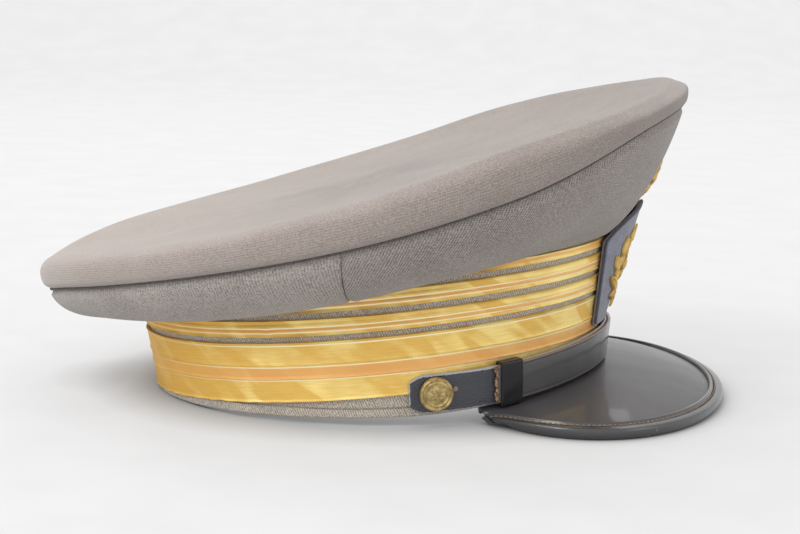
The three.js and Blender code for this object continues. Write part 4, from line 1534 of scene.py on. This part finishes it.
    def build(self) -> None:
        """Builds and dresses the straps, keepers and buttons."""
        dull = Hide(
            "strap_tongue_leather",
            colour=(0.036, 0.039, 0.05),
            worn=(0.16, 0.16, 0.165),
            roughness=0.24,
            rough_range=0.25,
            grain=0.32,
            crease=1.2,
            coat=0.3,
            edge=(0.38, 0.38, 0.4),
            edge_width=0.8,
            edge_ends=True,
            width=self.width,
            scuff_at=(20.6, 9.4),
        )
        gloss = Hide(
            "strap_patent",
            colour=(0.05, 0.048, 0.05),
            roughness=0.28,
            rough_range=0.14,
            crease=0.4,
            edge=(0.2, 0.11, 0.05),
            edge_width=0.45,
            width=self.width,
        )
        dress(self.strap("strap_right_length", 1), dull, ("strap_under",))
        dress(self.strap("strap_left_length", -1), gloss, ("strap_over",))
        brass = Brass()
        thread = Plain("tan_thread", (0.2, 0.11, 0.05), (0.42, 0.27, 0.14), spot=0.4)
        raw = Plain("raw_leather", (0.12, 0.06, 0.03), (0.45, 0.27, 0.14), spot=1.2, depth=0.3)
        for name, side in (("right", -1), ("left", 1)):
            keeper = Hide(
                f"keeper_{name}_patent",
                roughness=0.1,
                rough_range=0.08,
                crease=0.8,
                coat=0.0,
                specular=0.3,
            )
            dress(self.keeper(f"keeper_{name}_loop", side), keeper, (f"keeper_{name}",))
            dress(self.keeper_stitches(f"keeper_{name}_stitches", side), thread)
            dress(self.raw_end(f"strap_{name}_raw_end", side), raw)
            button = self.button(f"button_{name}_face", side * self.button_azimuth)
            dress(button, brass, (f"button_{name}",))


@dataclass
class Badge:
    """The felt patch on the front of the band, its wreath and rosette, and the cockade above it."""

    band: Band
    strap: ChinStrap
    crown: Crown
    half_width: float = 26.0 * MM
    height: float = 54.0 * MM
    arch: float = 15.0 * MM
    felt: float = 2.0 * MM
    top_offset: float = 12.2 * MM
    relief: float = 1.4 * MM
    wreath_radius: float = 15.5 * MM
    leaf_length: float = 9.0 * MM
    leaf_width: float = 4.2 * MM
    rosette_diameter: float = 15.0 * MM
    cockade_diameter: float = 17.0 * MM
    cockade_height: float = 100.0 * MM
    centre_height: float = 23.8 * MM
    leaf_pairs: int = 6
    opening: float = 28.0
    petals: int = 8
    strand: float = 0.75 * MM
    cord_radius: float = 0.75 * MM
    stem_bars: int = 26

    def at(self, across: Array, height: Array, out: Array) -> Array:
        """Points on the patch: the band's surface moved out towards the patch's middle and top."""
        band = self.band
        foot = float(self.strap.middle(np.array(0.0))) + self.strap.width / 2 + 2 * band.gap
        azimuth = np.degrees(across / (band.width / 2))
        middle = band.resting + (self.top_offset - band.resting) * np.maximum(0.0, height) / self.height
        side = np.clip(across / self.half_width, -1.0, 1.0) ** 2
        rest = middle + (band.resting - middle) * 0.9 * side
        return band.at(azimuth, foot + height, rest + out)

    def patch_top(self, away: Array) -> Array:
        """Height of the patch at a share of the way to its side: a pointed arch."""
        return self.height - self.arch * (0.55 * away + 0.45 * away**4)

    def patch(self) -> bpy.types.Object:
        """The felt patch: straight sides under a pointed arch, with a soft cut edge."""
        share = (2 * edge_spacing(72, 0.6) - 1)[:, None]
        across = share * self.half_width
        line = edge_spacing(56, 0.6)[None, :]
        away = np.abs(share)
        top = self.patch_top(away)
        edge = np.minimum((1 - away) * self.half_width, np.minimum(line, 1 - line) * top)
        rim = 0.35 * MM * bell(edge, 1.2 * MM, 0.8 * MM)
        thick = self.felt / 2 * edge_round(edge, 0.8 * MM)
        outer = self.at(across, line * top, self.felt / 2 + thick + rim)
        inner = self.at(across, line * top, self.felt / 2 - thick)
        return wall_piece("badge_patch", outer, inner)

    def piping(self) -> bpy.types.Object:
        """A dark cord along the patch's edge: a tube that follows the arch and the sides."""
        away = np.linspace(-1.0, 1.0, 120)
        across = away * (self.half_width - 0.4 * MM)
        top = self.patch_top(np.abs(away))
        side = np.linspace(0.02, 0.98, 40)
        left = np.stack([np.full(40, across[0]), side * top[0]], axis=1)
        right = np.stack([np.full(40, across[-1]), side[::-1] * top[-1]], axis=1)
        arch = np.stack([across, top - 0.4 * MM], axis=1)
        flat = np.concatenate([left, arch, right])
        path = self.at(flat[:, 0], flat[:, 1], np.full(len(flat), self.felt * 0.8))
        return tube_piece("badge_patch_piping", path, self.cord_radius, 10)

    def blade(self, length: float, width: float, origin: tuple, turn: float) -> tuple[Array, Array, Array]:
        """A leaf or petal in the flat: a pointed oval, domed, with strands wound across it.

        The half width is the width times the sine of pi times the length share to the power 0.8, the
        dome is a half circle across, and each strand is a half wave on a slanted line.

        Args:
            length: Length of the blade.
            width: Its greatest width.
            origin: Place of its root.
            turn: Direction in radians.

        Returns:
            Flat x, flat y and height arrays of shape (columns, rows).
        """
        along = np.linspace(0.02, 0.98, 34)[:, None]
        across = np.linspace(-1.0, 1.0, 15)[None, :]
        half = width / 2 * np.sin(np.pi * along**0.8) ** 0.85 + 0.12 * MM
        slant = along * length - np.abs(across) * half * 0.9
        strands = np.abs(np.sin(np.pi * slant / self.strand))
        vein = 1.0 - 0.45 * bell(across, 0.0, 0.12)
        dome = np.sqrt(np.maximum(1.0 - across**2, 0.0)) * np.sin(np.pi * along) ** 0.3
        height = self.relief * (0.25 + 0.75 * dome * vein) * (0.82 + 0.18 * strands)
        x, y = along * length, across * half
        c, s = math.cos(turn), math.sin(turn)
        return origin[0] + x * c - y * s, origin[1] + x * s + y * c, height

    def embroidered(self, name: str, blades: list, place: Callable) -> bpy.types.Object:
        """Lays flat blades on a surface and joins them.

        Args:
            name: Name of the object.
            blades: Flat x, flat y and height arrays.
            place: Maps x, y and height to points.

        Returns:
            The new object.
        """
        pieces = []
        for number, (x, y, height) in enumerate(blades):
            outer = place(x, y, height)
            inner = place(x, y, np.zeros_like(height))
            pieces.append(wall_piece(f"{name}_{number}", outer, inner))
        return join_pieces(name, pieces)

    def boss(self, radius: float) -> tuple[Array, Array, Array]:
        """A round boss in the flat: rings from the rim in, domed, with strands turned round it."""
        turn = np.linspace(0.0, 2 * np.pi, 48)[:, None]
        share = np.linspace(1.0, 0.05, 14)[None, :]
        coil = 0.85 + 0.15 * np.abs(np.sin(np.pi * share * radius / (self.strand * 0.8)))
        height = self.relief * (0.5 + 1.1 * np.sqrt(1.0 - 0.98 * share**2)) * coil * np.ones_like(turn)
        return radius * share * np.cos(turn), radius * share * np.sin(turn), height

    def wreath_blades(self) -> list:
        """The wreath: pairs of leaves along each side, and a stem of short wound bars."""
        blades = []
        for side in (-1, 1):
            for number in range(self.leaf_pairs):
                along = -80 + (90 - self.opening + 80) * number / (self.leaf_pairs - 1)
                place = math.radians(along if side > 0 else 180 - along)
                origin = (self.wreath_radius * math.cos(place), self.wreath_radius * math.sin(place))
                for turn in (-0.55, 0.55):
                    angle = place + side * math.pi / 2 + turn
                    setback = 0.2 * self.leaf_length
                    root = (
                        origin[0] - setback * math.cos(angle),
                        origin[1] - setback * math.sin(angle),
                    )
                    blades.append(self.blade(self.leaf_length, self.leaf_width, root, angle))
        for place in np.radians(np.linspace(90 + self.opening, 450 - self.opening, self.stem_bars)):
            root = (self.wreath_radius * math.cos(place), self.wreath_radius * math.sin(place))
            blades.append(self.blade(3.4 * MM, 1.7 * MM, root, place + math.pi / 2))
        return blades

    def rosette_blades(self, diameter: float) -> list:
        """A rosette: petals round a boss."""
        turns = 2 * math.pi * np.arange(self.petals) / self.petals
        petals = [self.blade(diameter / 2, diameter * 0.3, (0.0, 0.0), turn) for turn in turns]
        return [*petals, self.boss(diameter * 0.2)]

    def on_patch(self, x: Array, y: Array, height: Array) -> Array:
        """Places flat embroidery on the patch."""
        return self.at(x, self.centre_height + y, self.felt + self.band.gap + height)

    def on_crown(self, x: Array, y: Array, height: Array) -> Array:
        """Places flat embroidery on the front quarter, leaning with its cloth between band and seam."""
        crown = self.crown
        azimuth = np.degrees(x / (crown.length / 2 - 30 * MM))
        t = np.linspace(0.0, 1.0, 60)[:, None, None, None]
        curve = bezier(t, *crown.curve_points(azimuth))
        target = self.cockade_height + y
        index = np.clip((curve[..., 2] < target).sum(axis=0), 1, len(t) - 1)[None, ..., None]
        above, below = (
            np.take_along_axis(curve, np.broadcast_to(index - step, (1, *curve.shape[1:])), axis=0)[0]
            for step in (0, 1)
        )
        rise = above - below
        point = below + rise * ((target - below[..., 2]) / rise[..., 2])[..., None]
        level = np.cross([0.0, 0.0, 1.0], crown.outwards(azimuth))
        normal = unit(np.cross(level, unit(rise)))
        return point + normal * (2 * self.band.gap + height)[..., None]

    def build(self) -> None:
        """Builds and dresses the patch, its embroidery and the cockade."""
        felt = Felt("patch_felt", (0.12, 0.125, 0.16), (0.27, 0.275, 0.34))
        dress(self.patch(), felt, ("badge_backing",))
        cord = Felt("patch_cord", (0.03, 0.03, 0.04), (0.1, 0.1, 0.12))
        dress(self.piping(), cord)
        bullion = Bullion()
        rosette, cockade = map(self.rosette_blades, (self.rosette_diameter, self.cockade_diameter))
        for node, blades, place in (
            ("badge_wreath", self.wreath_blades(), self.on_patch),
            ("badge_rosette", rosette, self.on_patch),
            ("crown_cockade", cockade, self.on_crown),
        ):
            dress(self.embroidered(f"{node}_bullion", blades, place), bullion, (node,))


@dataclass(frozen=True)
class Lamp:
    """A soft area light: where it stands, the point that it faces, its size, and its power in watts."""

    name: str
    place: tuple
    aim: tuple
    size: tuple
    power: float

    def build(self) -> None:
        """Adds the light to the scene."""
        data = bpy.data.lights.new(self.name, "AREA")
        data.shape = "RECTANGLE"
        data.size, data.size_y = self.size
        data.energy = self.power
        lamp = bpy.data.objects.new(self.name, data)
        lamp.location = self.place
        lamp.rotation_euler = (Vector(self.aim) - Vector(self.place)).to_track_quat("-Z", "Y").to_euler()
        bpy.context.scene.collection.objects.link(lamp)


@dataclass
class Stage:
    """The floor that curves up behind, the lamps and the camera."""

    half_width: float = 4.0
    front: float = -3.0
    back: float = 1.6
    curve: float = 0.9
    height: float = 3.0
    lens: float = 84.77
    sensor: float = 36.0
    eye: tuple = (0.05546, -0.8662, 0.20567)
    right: tuple = (0.99833, 0.05573, 0.01528)
    up: tuple = (-0.02456, 0.16986, 0.98516)
    air: tuple = (1.0, 0.99, 0.98, 1.0)
    air_strength: float = 0.9
    lamps: tuple[Lamp, ...] = (
        Lamp("key", (-0.95, -1.0, 1.4), (-0.02, 0.0, 0.05), (1.1, 1.0), 19.0),
        Lamp("side", (1.5, -0.7, 0.8), (0.05, 0.0, 0.05), (0.8, 1.0), 3.0),
        Lamp("rear", (-0.3, 1.1, 1.5), (0.0, 0.0, 0.1), (1.8, 0.7), 8.0),
        Lamp("backdrop", (0.0, 0.9, 2.4), (0.0, 2.5, 1.3), (3.0, 0.5), 26.0),
    )

    def floor(self) -> bpy.types.Object:
        """The floor: a flat run, a quarter circle and an upright run, carried across."""
        arc = np.linspace(0.0, np.pi / 2, 24)
        bend = self.back + self.curve * np.sin(arc)
        y = np.concatenate([[self.front, 0.0], bend, [self.back + self.curve]])
        z = np.concatenate([[0.0, 0.0], self.curve * (1 - np.cos(arc)), [self.height]])
        x = np.array([-self.half_width, self.half_width])
        outer = np.stack(np.broadcast_arrays(x[:, None], y[None], z[None]), axis=2)
        inner = outer + np.array([0.0, 0.02, -0.02])
        return wall_piece("pale_floor", outer, inner)

    def camera(self) -> None:
        """The camera at the photograph's place and angle."""
        data = bpy.data.cameras.new("view")
        data.lens = self.lens
        data.sensor_width = self.sensor
        camera = bpy.data.objects.new("view", data)
        right, up = Vector(self.right), Vector(self.up)
        back = right.cross(up)
        turn = Matrix((right, up, back)).transposed().to_4x4()
        camera.matrix_world = Matrix.Translation(Vector(self.eye)) @ turn
        bpy.context.scene.collection.objects.link(camera)
        bpy.context.scene.camera = camera

    def build(self) -> None:
        """Builds the floor, the lamps, the world and the camera."""
        floor = self.floor()
        pale = Plain(
            "pale_floor_cloth",
            dark=(0.235, 0.235, 0.24),
            light=(0.255, 0.255, 0.26),
            spot=40.0,
            depth=0.02,
            roughness=0.9,
            glow=0.5,
        )
        floor.data.materials.append(pale.material())
        for lamp in self.lamps:
            lamp.build()
        world = bpy.data.worlds.new("soft_room")
        world.use_nodes = True
        backdrop = world.node_tree.nodes["Background"]
        backdrop.inputs["Color"].default_value = self.air
        backdrop.inputs["Strength"].default_value = self.air_strength
        bpy.context.scene.world = world
        bpy.context.scene.view_settings.view_transform = "Standard"
        self.camera()


def main() -> None:
    """Builds the stage and the cap."""
    logging.basicConfig(level=logging.INFO, format="%(name)s %(message)s")
    Stage().build()
    band = Band()
    crown = Crown(band)
    strap = ChinStrap(band)
    for part in (band, crown, Peak(band), strap, Badge(band, strap, crown)):
        part.build()
        log.info("%s built", type(part).__name__)


if __name__ == "__main__":
    main()
